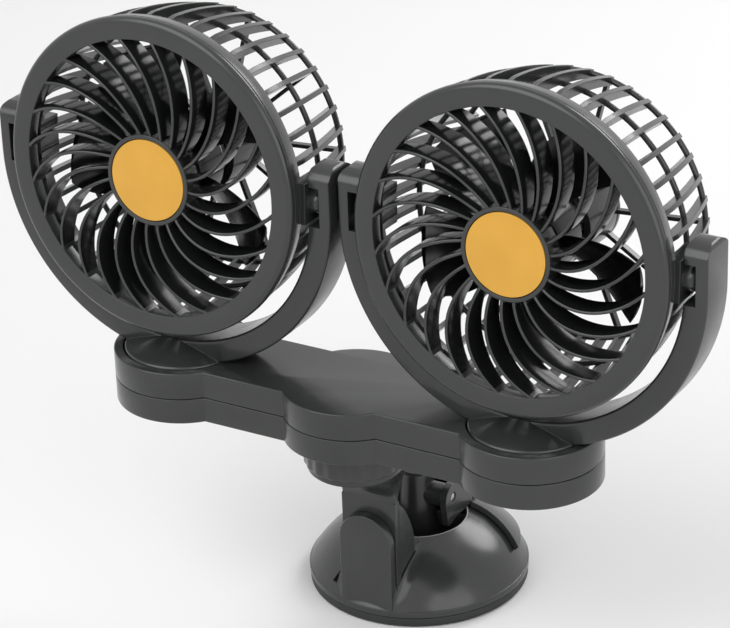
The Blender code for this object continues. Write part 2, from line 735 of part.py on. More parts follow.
def yoke_mesh():
    half = YOKE_DEPTH / 2
    levels = ((-half, YOKE_EDGE), (-half + YOKE_EDGE, 0), (half - YOKE_EDGE, 0), (half, YOKE_EDGE))
    band = lofted([[(x, level, z) for x, z in yoke_outline(inset)] for level, inset in levels])
    rim_top = BAR_TOP + TURNTABLE_PROUD - PIVOT_HEIGHT
    rim_low = rim_top - TURNTABLE_RIM
    cone_top = rim_top + CONE_RISE
    spindle_end = WELL_UNDERSIDE - PIVOT_HEIGHT
    disc = turned([(0, cone_top), (CONE_TOP_RADIUS, cone_top),
                   (TURNTABLE_RADIUS - TURNTABLE_CHAMFER, rim_top + TURNTABLE_CHAMFER / 2),
                   (TURNTABLE_RADIUS, rim_top - TURNTABLE_CHAMFER), (TURNTABLE_RADIUS, rim_low),
                   (SPINDLE_RADIUS, rim_low), (SPINDLE_RADIUS, spindle_end), (0, spindle_end)], FINE)
    slots = []
    for side in (-1, 1):
        near = side * (YOKE_INNER - OVERRUN)
        far = side * (YOKE_INNER + SLOT_DEPTH)
        journal = side * (YOKE_INNER + SLOT_DEPTH + JOURNAL_LENGTH)
        play = TRUNNION_RADIUS + GAP
        slot = box((min(near, far), -half - OVERRUN, -SLOT_BELOW), (max(near, far), play, play))
        bore = cylinder(JOURNAL_RADIUS + GAP, min(far - side * OVERRUN, journal),
                        max(far - side * OVERRUN, journal), "X")
        slots.append(combined(slot, [("UNION", bore)]))
    screw_hole = cylinder(SCREW_HOLE_RADIUS, spindle_end - OVERRUN,
                          rim_low + TURNTABLE_RIM / 2 + GAP, "Z", SCREW_SEGMENTS)
    return combined(band, [("UNION", disc), ("DIFFERENCE", joined(slots)), ("DIFFERENCE", screw_hole)])


def washer_mesh(radius):
    """A retaining washer under a swivel, its top at z = 0."""
    return turned([(SCREW_HOLE_RADIUS, -WASHER_THICKNESS), (radius, -WASHER_THICKNESS), (radius, 0),
                   (SCREW_HOLE_RADIUS, 0)], SMALL)


# Cross bar

def bar_outline(inset, steps):
    """Three round lobes joined by straight waists, drawn in by an inset."""
    radius = LOBE_RADIUS - inset
    waist = WAIST_HALF_WIDTH - inset
    opening = math.asin(waist / radius)
    far = HEAD_SPACING / 2
    points = arc((far, 0), radius, -math.pi + opening, math.pi - opening, steps)
    points += arc((0, 0), radius, opening, math.pi - opening, steps // 3)
    points += arc((-far, 0), radius, opening, math.tau - opening, steps)
    points += arc((0, 0), radius, math.pi + opening, math.tau - opening, steps // 3)
    return points


def bar_screw_places():
    return [(sx * BAR_SCREW_ALONG, sy * BAR_SCREW_ACROSS) for sx in (-1, 1) for sy in (-1, 1)]


def bar_levels(levels, steps=LOBE_STEPS):
    return lofted([[(x, y, z) for x, y in bar_outline(inset, steps)] for z, inset in levels])


def bar_hollow(low, high):
    return bar_levels(((low, BAR_WALL), (high, BAR_WALL)), LOBE_STEPS // 2)


def upper_shell_mesh():
    far = HEAD_SPACING / 2
    roof = BAR_TOP - BAR_FLOOR
    block = bar_levels(((SEAM_HIGH, 0), (BAR_TOP - BAR_EDGE, 0), (BAR_TOP, BAR_EDGE)))
    hollow = bar_hollow(SEAM_HIGH - OVERRUN, roof)
    seats = []
    wells = []
    for side in (-1, 1):
        seat = cylinder(LOBE_RADIUS - BAR_WALL / 2, WELL_UNDERSIDE, BAR_TOP - BAR_EDGE, "Z", MEDIUM)
        well = turned([(0, WELL_UNDERSIDE - OVERRUN), (SPINDLE_RADIUS + GAP, WELL_UNDERSIDE - OVERRUN),
                       (SPINDLE_RADIUS + GAP, WELL_FLOOR),
                       (TURNTABLE_RADIUS + WELL_GROOVE, WELL_FLOOR),
                       (TURNTABLE_RADIUS + WELL_GROOVE, BAR_TOP + OVERRUN), (0, BAR_TOP + OVERRUN)],
                      FINE)
        seats.append(moved(seat, (side * far, 0, 0)))
        wells.append(moved(well, (side * far, 0, 0)))
    bosses = []
    holes = []
    for x, y in bar_screw_places():
        boss = cylinder(SCREW_HOLE_RADIUS + BOSS_WALL, SEAM_HIGH, roof + BURIED, "Z", SMALL // 2)
        hole = cylinder(SCREW_HOLE_RADIUS, SEAM_HIGH - OVERRUN, roof - OVERRUN, "Z", SCREW_SEGMENTS)
        bosses.append(moved(boss, (x, y, 0)))
        holes.append(moved(hole, (x, y, 0)))
    return combined(block, [("DIFFERENCE", hollow), ("UNION", joined(seats)), ("UNION", joined(bosses)),
                            ("DIFFERENCE", joined(wells + holes)), ("DIFFERENCE", bushing_hole())])


def bushing_height():
    return SEAM_HIGH + BUSHING_RADIUS + BUSHING_FLANGE


def bushing_hole():
    hole = cylinder(BUSHING_RADIUS + GAP, 0, BAR_WALL + 2 * OVERRUN, "Y", SMALL)
    return moved(hole, (0, LOBE_RADIUS - BAR_WALL - OVERRUN, bushing_height()))


def bushing_mesh():
    """The bush that lines the cable's way into the bar at the back of the middle lobe."""
    flange = BUSHING_RADIUS + BUSHING_FLANGE
    outside = BAR_WALL + GAP
    return turned([(BUSHING_BORE, -BUSHING_FLANGE), (BUSHING_RADIUS, -BUSHING_FLANGE),
                   (BUSHING_RADIUS, outside), (flange, outside), (flange, outside + BUSHING_PROUD / 2),
                   (BUSHING_RADIUS, outside + BUSHING_PROUD), (BUSHING_BORE, outside + BUSHING_PROUD)],
                  SMALL, "Y")


def lower_shell_mesh():
    floor = BAR_BOTTOM + BAR_FLOOR
    block = bar_levels(((BAR_BOTTOM, BAR_EDGE), (BAR_BOTTOM + BAR_EDGE, 0), (SEAM_LOW, 0)))
    hollow = bar_hollow(floor, SEAM_LOW + OVERRUN)
    bore = NECK_SPINDLE_RADIUS + GAP
    tube = cylinder(bore + SPIGOT_TUBE_WALL, RING_BOTTOM + RING_BASE + GAP, floor, "Z", MEDIUM)
    bosses = []
    holes = []
    for x, y in bar_screw_places():
        radius = SCREW_HEAD_RADIUS + SCREW_GAP
        boss = cylinder(radius + BOSS_WALL, BAR_BOTTOM + BURIED, SEAM_LOW, "Z", SMALL // 2)
        hole = turned([(0, BAR_BOTTOM - OVERRUN), (radius, BAR_BOTTOM - OVERRUN),
                       (radius, screw_seat()), (SCREW_HOLE_RADIUS, screw_seat()),
                       (SCREW_HOLE_RADIUS, SEAM_LOW + OVERRUN), (0, SEAM_LOW + OVERRUN)], SCREW_SEGMENTS)
        bosses.append(moved(boss, (x, y, 0)))
        holes.append(moved(hole, (x, y, 0)))
    spindle_hole = cylinder(bore, RING_BOTTOM, floor + OVERRUN, "Z", MEDIUM)
    return combined(block, [("DIFFERENCE", hollow), ("UNION", joined(bosses + [tube])),
                            ("DIFFERENCE", joined(holes + [spindle_hole]))])


def screw_seat():
    """The height of the shoulder that a bar screw's head pulls on."""
    return SEAM_LOW - LOWER_SHELL_HEIGHT / 2


def clamp_ring_mesh():
    """The fluted ring that tightens the bar on the neck."""
    top = RING_BOTTOM + RING_HEIGHT
    groove = RING_RADIUS - FLUTE_DEPTH
    bore = NECK_SPINDLE_RADIUS + GAP
    chamber = bore + SPIGOT_TUBE_WALL + GAP
    pitch = math.tau / FLUTE_COUNT
    half_ridge = pitch * FLUTE_RIDGE_SHARE / 2
    groove_start = pitch * FLUTE_GROOVE_SHARE

    def outline(ease):
        points = []
        for index in range(FLUTE_COUNT):
            for radius, offset in ((RING_RADIUS, -half_ridge), (RING_RADIUS, half_ridge),
                                   (groove, groove_start), (groove, pitch - groove_start)):
                angle = index * pitch + offset
                points.append(((radius - ease) * math.cos(angle), (radius - ease) * math.sin(angle)))
        return points

    edge = FLUTE_DEPTH / 2
    levels = ((RING_BOTTOM, edge), (RING_BOTTOM + edge, 0), (top, 0))
    body = lofted([[(x, y, z) for x, y in outline(ease)] for z, ease in levels])
    inside = turned([(0, RING_BOTTOM - OVERRUN), (bore, RING_BOTTOM - OVERRUN),
                     (bore, RING_BOTTOM + RING_BASE), (chamber, RING_BOTTOM + RING_BASE),
                     (chamber, top + OVERRUN), (0, top + OVERRUN)], MEDIUM)
    return combined(body, [("DIFFERENCE", inside)])


# Neck

def rounded_section(half_width, front, back, height, blend):
    """A section that blends from a rounded oblong to a circle, as 3-D points round it."""
    points = []
    middle = (front + back) / 2
    half_depth = (back - front) / 2
    for index in range(ARC_STEPS):
        angle = math.tau * (index + 1 / 2) / ARC_STEPS
        power = 2 / (2 + 4 * (1 - blend))
        cosine = math.cos(angle)
        sine = math.sin(angle)
        across = math.copysign(abs(cosine) ** power, cosine)
        along = math.copysign(abs(sine) ** power, sine)
        points.append((half_width * across, middle + half_depth * along, height))
    return points


def neck_mesh():
    """Plate, two cheeks, flared turret and spindle in one moulding."""
    front = -NECK_FRONT
    back = front + NECK_PLATE_THICKNESS
    foot = PAD_THICKNESS + GAP
    plate = box((-NECK_HALF_WIDTH, front, foot), (NECK_HALF_WIDTH, back, NECK_PLATE_TOP))
    cheek_back = back + CHEEK_DEPTH
    root = back - BURIED
    slope = []
    for index in range(CHEEK_STEPS + 1):
        share = index / CHEEK_STEPS
        bulge = CHEEK_BULGE * 4 * share * (1 - share)
        slope.append((root + (cheek_back - root) * share + bulge,
                      CHEEK_TOP + (CHEEK_SHOULDER - CHEEK_TOP) * share + bulge))
    cheek_outline = [(root, foot + LIP_HEIGHT)] + slope + [(cheek_back, foot + LIP_HEIGHT)]
    cheeks = []
    for side in (-1, 1):
        inner = side * (NECK_HALF_WIDTH - CHEEK_THICKNESS)
        outer = side * (NECK_HALF_WIDTH - GAP)
        cheeks.append(extruded(cheek_outline, min(inner, outer), max(inner, outer), "YZ"))
    turret_low = TURRET_TOP - TURRET_RIM
    start = NECK_PLATE_TOP - BURIED
    sections = []
    for rise, reach in ((0.0, 0.0), (NECK_FLARE_RISE_SHARE, NECK_FLARE_REACH_SHARE), (1.0, 1.0)):
        spread = reach ** NECK_WIDTH_POWER
        half_width = NECK_HALF_WIDTH + (TURRET_RADIUS - NECK_HALF_WIDTH) * spread
        low_front = front + (-BAR_AHEAD - TURRET_RADIUS - front) * reach
        low_back = back + (-BAR_AHEAD + TURRET_RADIUS - back) * reach
        height = start + (turret_low - start) * rise
        sections.append(rounded_section(half_width, low_front, low_back, height, reach))
    flare = lofted(sections)
    top = BAR_BOTTOM + BAR_FLOOR + GAP
    turret = turned([(0, turret_low - BURIED), (TURRET_RADIUS - BURIED, turret_low - BURIED),
                     (TURRET_RADIUS, turret_low), (TURRET_RADIUS, TURRET_TOP),
                     (NECK_SPINDLE_RADIUS, TURRET_TOP), (NECK_SPINDLE_RADIUS, top), (0, top)], MEDIUM)
    turret = moved(turret, (0, -BAR_AHEAD, 0))
    holes = []
    for height in (BRACKET_SCREW_LOW, BRACKET_SCREW_HIGH):
        hole = cylinder(SCREW_HOLE_RADIUS, front - OVERRUN, back + OVERRUN, "Y", SCREW_SEGMENTS)
        holes.append(moved(hole, (0, 0, height)))
    bore = cylinder(SCREW_HOLE_RADIUS, TURRET_TOP, top + OVERRUN, "Z", SCREW_SEGMENTS)
    holes.append(moved(bore, (0, -BAR_AHEAD, 0)))
    return combined(plate, [("UNION", flare), ("UNION", joined(cheeks)), ("UNION", turret),
                            ("DIFFERENCE", joined(holes))])


# Suction mount

def dome_point(share):
    """A point (radius, height) of the dome's outside, from its lip to its opening."""
    low = Vector((CUP_RADIUS - LIP_STEP, LIP_TOP))
    high = Vector((DOME_OPENING_RADIUS, DOME_TOP))
    line = high - low
    outward = Vector((-line.y, line.x)).normalized()
    if outward.x < 0:
        outward = -outward
    bulge = outward * DOME_BULGE * 4 * share * (1 - share)
    return low + line * share + bulge


def dome_offset(share, distance):
    """The dome's outside moved out along its own normal."""
    step = 1 / (8 * DOME_STEPS)
    before = dome_point(max(0.0, share - step))
    after = dome_point(min(1.0, share + step))
    line = after - before
    outward = Vector((line.y, -line.x)).normalized()
    if outward.x < 0:
        outward = -outward
    return dome_point(share) + outward * distance


def base_shell_mesh():
    outside = [dome_point(index / DOME_STEPS) for index in range(DOME_STEPS + 1)]
    inside = [dome_offset(index / DOME_STEPS, -DOME_WALL) for index in range(DOME_STEPS + 1)]
    inner_lip = CUP_RADIUS - LIP_STEP - DOME_WALL
    profile = [(CUP_RADIUS, LIP_BOTTOM), (CUP_RADIUS, LIP_TOP - LIP_STEP / 2),
               (CUP_RADIUS - LIP_STEP / 2, LIP_TOP)]
    profile += [(point.x, point.y) for point in outside[:-1]]
    profile += [(DOME_OPENING_RADIUS + DOME_RIM_EDGE, DOME_TOP),
                (DOME_OPENING_RADIUS, DOME_TOP - DOME_RIM_EDGE),
                (DOME_OPENING_RADIUS, inside[-1].y - DOME_WALL)]
    profile += [(point.x, point.y) for point in reversed(inside[1:-1])]
    profile += [(inner_lip, LIP_TOP - LIP_STEP), (inner_lip, LIP_BOTTOM)]
    dome = turned(profile, FINE)
    front = -COVER_FACE_AHEAD
    back = front + COVER_PLATE_THICKNESS

    def plate_outline(inset):
        radius = COVER_HALF_WIDTH - inset
        centre = COVER_PLATE_TOP - COVER_HALF_WIDTH
        bottom = COVER_PLATE_BOTTOM + inset
        return [(-radius, bottom), (radius, bottom)] + arc((0, centre), radius, 0, math.pi, 10)

    levels = ((front, COVER_EDGE), (front + COVER_EDGE, 0), (back, 0))
    plate = lofted([[(x, level, z) for x, z in plate_outline(inset)] for level, inset in levels])
    slot_half = NECK_HALF_WIDTH + GAP
    slot_back = back + GAP + NECK_PLATE_THICKNESS + CHEEK_DEPTH + GAP
    slot = box((-slot_half, back, LIP_BOTTOM - OVERRUN), (slot_half, slot_back, COVER_PLATE_TOP))
    holes = []
    for height in (BRACKET_SCREW_LOW, BRACKET_SCREW_HIGH):
        hole = cylinder(SCREW_HOLE_RADIUS, back - COVER_PLATE_THICKNESS * 2 / 3, back + OVERRUN, "Y",
                        SCREW_SEGMENTS)
        holes.append(moved(hole, (0, 0, height)))
    return combined(dome, [("UNION", plate), ("DIFFERENCE", slot), ("DIFFERENCE", joined(holes))])


def pad_mesh():
    """The suction pad with the pocket that holds the post's foot."""
    hub_inner = POST_FOOT_RADIUS + GAP
    hub_outer = hub_inner + PAD_HUB_WALL
    hub_top = PAD_THICKNESS + PAD_HUB_HEIGHT
    lip_under = hub_top - PAD_HUB_LIP
    return turned([(0, 0), (PAD_RADIUS - PAD_BEVEL, 0), (PAD_RADIUS, PAD_BEVEL),
                   (PAD_RADIUS, PAD_THICKNESS),
                   (hub_outer, PAD_THICKNESS), (hub_outer, hub_top), (POST_RADIUS + GAP, hub_top),
                   (POST_RADIUS + GAP, lip_under), (hub_inner, lip_under), (hub_inner, PAD_FLOOR),
                   (0, PAD_FLOOR)], FINE)


def post_mesh():
    """The post that pulls the pad up, with its foot and the pin's cross hole."""
    foot_top = PAD_THICKNESS + PAD_HUB_HEIGHT - PAD_HUB_LIP - GAP
    top = PIN_HEIGHT + POST_ABOVE_PIN
    edge = POST_RADIUS - POST_TOP_RADIUS
    body = turned([(0, foot_top - POST_FOOT_THICKNESS), (POST_FOOT_RADIUS, foot_top - POST_FOOT_THICKNESS),
                   (POST_FOOT_RADIUS, foot_top), (POST_RADIUS, foot_top), (POST_RADIUS, DOME_TOP),
                   (POST_TOP_RADIUS, top - edge), (POST_TOP_RADIUS - edge, top), (0, top)], MEDIUM)
    reach = EAR_OUTER - EAR_THICKNESS - GAP
    knuckle = moved(cylinder(KNUCKLE_RADIUS, -reach, reach, "X"), (0, 0, PIN_HEIGHT))
    hole = moved(cylinder(PIN_RADIUS + GAP, -EAR_OUTER, EAR_OUTER, "X"), (0, 0, PIN_HEIGHT))
    return combined(body, [("UNION", knuckle), ("DIFFERENCE", hole)])


def lever_wing():
    """The lever's handle: a curved plate that hugs the back of the dome."""
    sections = []
    for index in range(LEVER_STEPS + 1):
        share = LEVER_END_SHARE + (LEVER_TOP_SHARE - LEVER_END_SHARE) * index / LEVER_STEPS
        half = LEVER_END_HALF_ANGLE + (LEVER_TOP_HALF_ANGLE - LEVER_END_HALF_ANGLE) * index / LEVER_STEPS
        section = []
        for distance, direction in ((LEVER_CLEARANCE, 1), (LEVER_CLEARANCE + LEVER_THICKNESS, -1)):
            point = dome_offset(share, distance)
            for step in range(LEVER_SIDE_STEPS + 1):
                side = direction * (2 * step / LEVER_SIDE_STEPS - 1)
                angle = math.pi / 2 + half * side
                section.append((point.x * math.cos(angle), point.x * math.sin(angle), point.y))
        sections.append(section)
    return lofted(sections)


def lever_mesh():
    top_inner = dome_offset(LEVER_TOP_SHARE, LEVER_CLEARANCE)
    ear_inner = EAR_OUTER - EAR_THICKNESS
    nose = arc((0, PIN_HEIGHT), EAR_NOSE_RADIUS, math.pi / 2, math.pi, 5)
    wing_y = top_inner.x * math.cos(LEVER_TOP_HALF_ANGLE) + LEVER_THICKNESS
    outline = nose + [(-EAR_TIP_FRONT, EAR_BOTTOM), (-EAR_TIP_BACK, EAR_BOTTOM),
                      (EAR_TIP_BACK, DOME_TOP + EAR_RIM_CLEARANCE),
                      (HOOD_START, DOME_TOP + EAR_RIM_CLEARANCE),
                      (wing_y, top_inner.y + LEVER_CLEARANCE),
                      (wing_y, top_inner.y + LEVER_THICKNESS * 2),
                      (HOOD_START + LEVER_THICKNESS / 2, PIN_HEIGHT + HOOD_TOP_ABOVE_PIN)]
    ears = []
    for side in (-1, 1):
        near = side * ear_inner
        far = side * EAR_OUTER
        ears.append(extruded(outline, min(near, far), max(near, far), "YZ"))
    crown = HOOD_START + LEVER_THICKNESS / 2
    rear = top_inner.x + LEVER_THICKNESS / 2
    low = top_inner.y + LEVER_THICKNESS / 2
    hood_top = PIN_HEIGHT + HOOD_TOP_ABOVE_PIN
    hood_outline = [(HOOD_START, PIN_HEIGHT), (HOOD_START, hood_top), (crown, hood_top),
                    (rear + LEVER_THICKNESS / 2, low + LEVER_THICKNESS), (rear, low),
                    (rear - LEVER_THICKNESS, low + BURIED)]
    hood = extruded(hood_outline, -EAR_OUTER + BURIED, EAR_OUTER - BURIED, "YZ")
    pin_hole = moved(cylinder(PIN_RADIUS + GAP, -EAR_OUTER - OVERRUN, EAR_OUTER + OVERRUN, "X"),
                     (0, 0, PIN_HEIGHT))
    frame = combined(hood, [("UNION", joined(ears))])
    return combined(frame, [("UNION", lever_wing()), ("DIFFERENCE", pin_hole)])


def pin_mesh():
    return cylinder(PIN_RADIUS, -EAR_OUTER + GAP, EAR_OUTER - GAP, "X")


# Assembly

def at_pin(mesh):
    """Moves a mesh so that the lever's pin is its origin."""
    return moved(mesh, (0, 0, -PIN_HEIGHT))


def build_mount(finish):
    add_object("suction_pad", pad_mesh(), finish["rubber"])
    add_object("base_shell", base_shell_mesh(), finish["charcoal"])
    add_object("neck_bracket", neck_mesh(), finish["charcoal"])
    back = -NECK_FRONT + NECK_PLATE_THICKNESS + GAP
    length = back + COVER_FACE_AHEAD - COVER_PLATE_THICKNESS / 2
    for name, height in (("bracket_screw_lower", BRACKET_SCREW_LOW), ("bracket_screw_upper", BRACKET_SCREW_HIGH)):
        piece = add_object(name, screw(length), finish["steel"])
        piece.location = (0, back, height)
        piece.rotation_euler = (math.pi / 2, 0, 0)
    lever_axis = add_empty("lever axis", (0, 0, PIN_HEIGHT))
    add_object("suction_post", at_pin(post_mesh()), finish["black"], lever_axis)
    add_object("hinge_pin", pin_mesh(), finish["steel"], lever_axis)
    add_object("lock_lever", at_pin(lever_mesh()), finish["charcoal"], lever_axis)


def build_bar(finish, bar_axis):
    add_object("bar_lower_shell", lower_shell_mesh(), finish["charcoal"], bar_axis)
    add_object("bar_upper_shell", upper_shell_mesh(), finish["charcoal"], bar_axis)
    add_object("clamp_ring", clamp_ring_mesh(), finish["charcoal"], bar_axis)
    bush = add_object("cable_bushing", bushing_mesh(), finish["black"], bar_axis)
    bush.location = (0, LOBE_RADIUS - BAR_WALL, bushing_height())
    head_top = screw_seat() - GAP
    length = BAR_TOP - BAR_FLOOR - 2 * OVERRUN - head_top
    mesh = screw(length)
    for index, (x, y) in enumerate(bar_screw_places()):
        piece = add_object(f"bar_screw_{index + 1}", mesh, finish["steel"], bar_axis)
        piece.location = (x, y, head_top)
    washer_top = BAR_BOTTOM + BAR_FLOOR + GAP + WASHER_THICKNESS + GAP
    washer = add_object("bar_washer", washer_mesh(NECK_SPINDLE_RADIUS + SPIGOT_TUBE_WALL), finish["steel"],
                        bar_axis)
    washer.location = (0, 0, washer_top)
    top_screw = add_object("bar_washer_screw", screw(washer_top - TURRET_TOP), finish["steel"], bar_axis)
    top_screw.location = (0, 0, washer_top + GAP)
    top_screw.rotation_euler = (math.pi, 0, 0)


def build_yoke(side, finish, swivel, mesh):
    add_object(f"yoke_{side}", mesh["yoke"], finish["charcoal"], swivel)
    washer = add_object(f"turntable_washer_{side}", mesh["washer"], finish["steel"], swivel)
    washer_top = WELL_UNDERSIDE - GAP - PIVOT_HEIGHT
    washer.location = (0, 0, washer_top)
    piece = add_object(f"turntable_screw_{side}", mesh["washer_screw"], finish["steel"], swivel)
    piece.location = (0, 0, washer_top - WASHER_THICKNESS - GAP)


def build_head(side, finish, head, mesh, rotor_turn):
    add_object(f"front_grille_{side}", mesh["grille"], finish["charcoal"], head)
    add_object(f"hub_badge_{side}", mesh["badge"], finish["orange"], head)
    add_object(f"rear_cage_{side}", mesh["cage"], finish["charcoal"], head)
    add_object(f"motor_{side}", mesh["motor"], finish["steel"], head)
    add_object(f"circuit_board_{side}", mesh["board"], finish["board"], head)
    add_object(f"motor_cover_{side}", mesh["cover"], finish["charcoal"], head)
    add_object(f"speed_button_{side}", mesh["button"], finish["black"], head)
    rotor = add_empty(f"rotor spin {side}", (0, 0, 0), head, (0, rotor_turn, 0))
    add_object(f"impeller_{side}", mesh["impeller"], finish["black"], rotor)
    add_object(f"motor_shaft_{side}", mesh["shaft"], finish["steel"], rotor)
    for index, angle in enumerate(cage_screw_places()):
        piece = add_object(f"cage_screw_{side}_{index + 1}", mesh["cage_screw"], finish["steel"], head)
        centre = cage_screw_centre(angle)
        piece.location = (centre[0], BAND_BACK + GAP, centre[2])
        piece.rotation_euler = (math.pi / 2, 0, 0)


def main():
    clear_scene()
    finish = make_materials()
    build_mount(finish)
    bar_axis = add_empty("bar swivel axis", (0, -BAR_AHEAD, 0))
    build_bar(finish, bar_axis)
    washer_screw_length = WASHER_THICKNESS + 2 * GAP + (WELL_FLOOR - WELL_UNDERSIDE) + TURNTABLE_RIM / 2
    mesh = {
        "yoke": yoke_mesh(),
        "washer": washer_mesh(WASHER_RADIUS),
        "washer_screw": screw(washer_screw_length),
        "grille": combined(grille_mesh(), [("DIFFERENCE", grille_screw_holes())]),
        "badge": badge_mesh(),
        "cage": cage_mesh(),
        "motor": motor_mesh(),
        "board": board_mesh(),
        "cover": cover_mesh(),
        "button": button_mesh(),
        "impeller": impeller_mesh(),
        "shaft": shaft_mesh(),
        "cage_screw": screw(BAND_BACK + BEZEL_FACE_FORWARD - BEZEL_DEPTH / 2, SMALL_SCREW_RADIUS,
                            SMALL_SCREW_HEAD_RADIUS, SMALL_SCREW_HEAD_HEIGHT),
    }
    for side, sign, rotor_turn in zip(("left", "right"), (-1, 1), ROTOR_REST_TURNS):
        swivel = add_empty(f"yoke swivel {side}", (sign * HEAD_SPACING / 2, 0, PIVOT_HEIGHT), bar_axis,
                           (0, 0, YOKE_REST_TURN))
        head = add_empty(f"head tilt {side}", (0, 0, 0), swivel, (-HEAD_REST_TILT, 0, 0))
        build_yoke(side, finish, swivel, mesh)
        build_head(side, finish, head, mesh, rotor_turn)


main()
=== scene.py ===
"""The looks of the dual head car fan: finishes, finer shapes, light, floor and camera."""
import json
from math import asin, copysign, cos, hypot, log, pi, radians, sin, sqrt, tan, tau

import bmesh
import bpy
from mathutils import Matrix, Vector


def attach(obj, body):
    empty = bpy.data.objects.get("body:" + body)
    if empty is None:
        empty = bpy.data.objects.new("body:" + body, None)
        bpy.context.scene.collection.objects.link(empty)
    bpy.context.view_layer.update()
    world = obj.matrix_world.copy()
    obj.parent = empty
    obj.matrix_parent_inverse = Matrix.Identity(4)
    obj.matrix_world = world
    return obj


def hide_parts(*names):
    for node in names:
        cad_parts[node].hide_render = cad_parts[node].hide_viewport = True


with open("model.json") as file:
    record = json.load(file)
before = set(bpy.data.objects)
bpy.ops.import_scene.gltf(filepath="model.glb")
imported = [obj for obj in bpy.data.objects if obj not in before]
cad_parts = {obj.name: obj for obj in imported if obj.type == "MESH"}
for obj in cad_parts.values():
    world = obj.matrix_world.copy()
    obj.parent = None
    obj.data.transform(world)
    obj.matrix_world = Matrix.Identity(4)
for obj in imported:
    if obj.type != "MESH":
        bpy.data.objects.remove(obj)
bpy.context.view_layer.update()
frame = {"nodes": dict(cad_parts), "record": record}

# Camera, fitted to the photograph
CAMERA_AZIMUTH = radians(30.30)
CAMERA_ELEVATION = radians(26.28)
CAMERA_ROLL = radians(-1.965)
CAMERA_DISTANCE = 1.1233
CAMERA_TARGET = (0.01053, -0.04411, 0.12971)
CAMERA_SENSOR = 36.0
CAMERA_LENS = 159.12
CAMERA_SHIFT = (-0.01511, 0.00059)

# Floor and light, with each lamp's name, place, width and power
FLOOR_RADIUS = 1.6
FLOOR_DROP = 0.0002
FLOOR_COLOUR = (0.86, 0.86, 0.86, 1.0)
FLOOR_ROUGHNESS = 0.7
WHITE = (1.0, 1.0, 1.0, 1.0)
WORLD_LIGHT = 0.55
LAMP_TARGET = (0.0, -0.04, 0.12)
LAMPS = (("key", (-0.5, -1.0, 1.3), 1.5, 14.0), ("fill", (1.3, -0.7, 0.7), 1.4, 7.0),
         ("rim", (0.4, 1.2, 1.0), 0.8, 9.0))

# Surfaces: each noise by scale, detail and roughness, each relief by strength and depth
FLOW_NOISE = (45.0, 3.0, 0.5)
PATCH_NOISE = (160.0, 5.0, 0.5)
GRAIN_NOISE = (1400.0, 2.0, 0.6)
CLOUD_NOISE = (60.0, 3.0, 0.5)
FOIL_NOISE = (2600.0, 2.0, 0.5)
SCUFF_NOISE = (700.0, 5.0, 0.6)
GRAIN_RELIEF = (0.35, 0.00004)
FOIL_RELIEF = (0.15, 0.00002)
SCUFF_RELIEF = (0.2, 0.00002)
RAMP_REACH = (0.3, 0.7)
SOFT_EDGE_RADIUS = 0.0004
SOFT_EDGE_SAMPLES = 4
PLASTIC_IOR = 1.5
PLASTIC_SHINE = 0.5
DARK_SHINE = 0.3
CHARCOAL_COLOURS = ((0.0262, 0.0280, 0.0270), (0.0302, 0.0320, 0.0309))
CHARCOAL_GLOSS = (0.17, 0.25)
BLACK_COLOURS = ((0.005, 0.005, 0.0053), (0.007, 0.007, 0.0073))
BLACK_GLOSS = (0.14, 0.22)
RUBBER_COLOURS = ((0.012, 0.013, 0.013), (0.017, 0.018, 0.018))
RUBBER_GLOSS = (0.45, 0.6)
# The vanes' sides: a darker, glossier copy of the charcoal of the same moulding, as painted shade
SHADED_VANE_SIDE_COLOURS = ((0.007, 0.0075, 0.0075), (0.010, 0.0105, 0.0105))
SHADED_VANE_SIDE_GLOSS = (0.12, 0.20)
SATIN_COLOURS = ((0.022, 0.023, 0.0225), (0.028, 0.029, 0.0285))
SATIN_GLOSS = (0.26, 0.34)
# A light grey line round the dome's opening: a painted highlight
RIM_HIGHLIGHT_COLOURS = ((0.70, 0.70, 0.70), (0.80, 0.80, 0.80))
RIM_HIGHLIGHT_GLOSS = (0.08, 0.14)
FOIL_COLOURS = ((0.62, 0.315, 0.030), (0.68, 0.355, 0.040))
FOIL_GLOSS = (0.36, 0.46)
STEEL_COLOURS = ((0.4592, 0.4592, 0.4674), (0.56, 0.56, 0.57))
STEEL_GLOSS = (0.22, 0.34)
TRACK_COLOURS = ((0.02, 0.12, 0.05, 1.0), (0.03, 0.16, 0.07, 1.0), (0.05, 0.22, 0.10, 1.0))
TRACK_SCALE = 220.0
BOARD_ROUGHNESS = 0.35

# Sizes of the shown shapes: those of the solids, but for some small forms that are finer here.
# Play between pieces, how far a cutter overruns, and how far a part is sunk into its neighbour
GAP = 0.0003
OVERRUN = 0.001
BURIED = 0.0006

# Heads
OPENING_RADIUS = 0.0512
BEZEL_FACE_WIDTH = 0.0058
BEZEL_CHAMFER = 0.0022
BEZEL_FACE_FORWARD = 0.0160
BEZEL_DEPTH = 0.0028
SPIGOT_WALL = 0.0026
SPIGOT_DEPTH = 0.0024
VANE_COUNT = 24
VANE_THICKNESS = 0.0013
VANE_DEPTH = 0.0066
VANE_SWEEP = radians(31.3)
VANE_LINEAR_SHARE = 0.605
VANE_START_ANGLE = radians(-5.1)
VANE_CROWN = 0.0030
HUB_RADIUS = 0.0168
HUB_RIM = 0.0015
HUB_DEPTH = 0.0070
HUB_WALL = 0.0018
BADGE_THICKNESS = 0.0009
BADGE_RECESS = 0.0012
BAND_LENGTH = 0.0065
BAND_WALL = 0.0030
BAND_TAPER = 0.0014
RIB_COUNT = 40
RIB_THICKNESS = 0.0018
RIB_DEPTH_FRONT = 0.0046
RIB_DEPTH_REAR = 0.0032
RIB_DRAW_IN = 0.0080
RIB_DRAW_POWER = 1.7
CAGE_REAR = 0.0358
RIB_TAIL = 0.0006
MID_RING_BACK = 0.0155
MID_RING_WIDTH = 0.0021
MID_RING_HEIGHT = 0.0020
MID_RING_OUT_SHARE = 1 / 3
REAR_RING_WIDTH = 0.0024
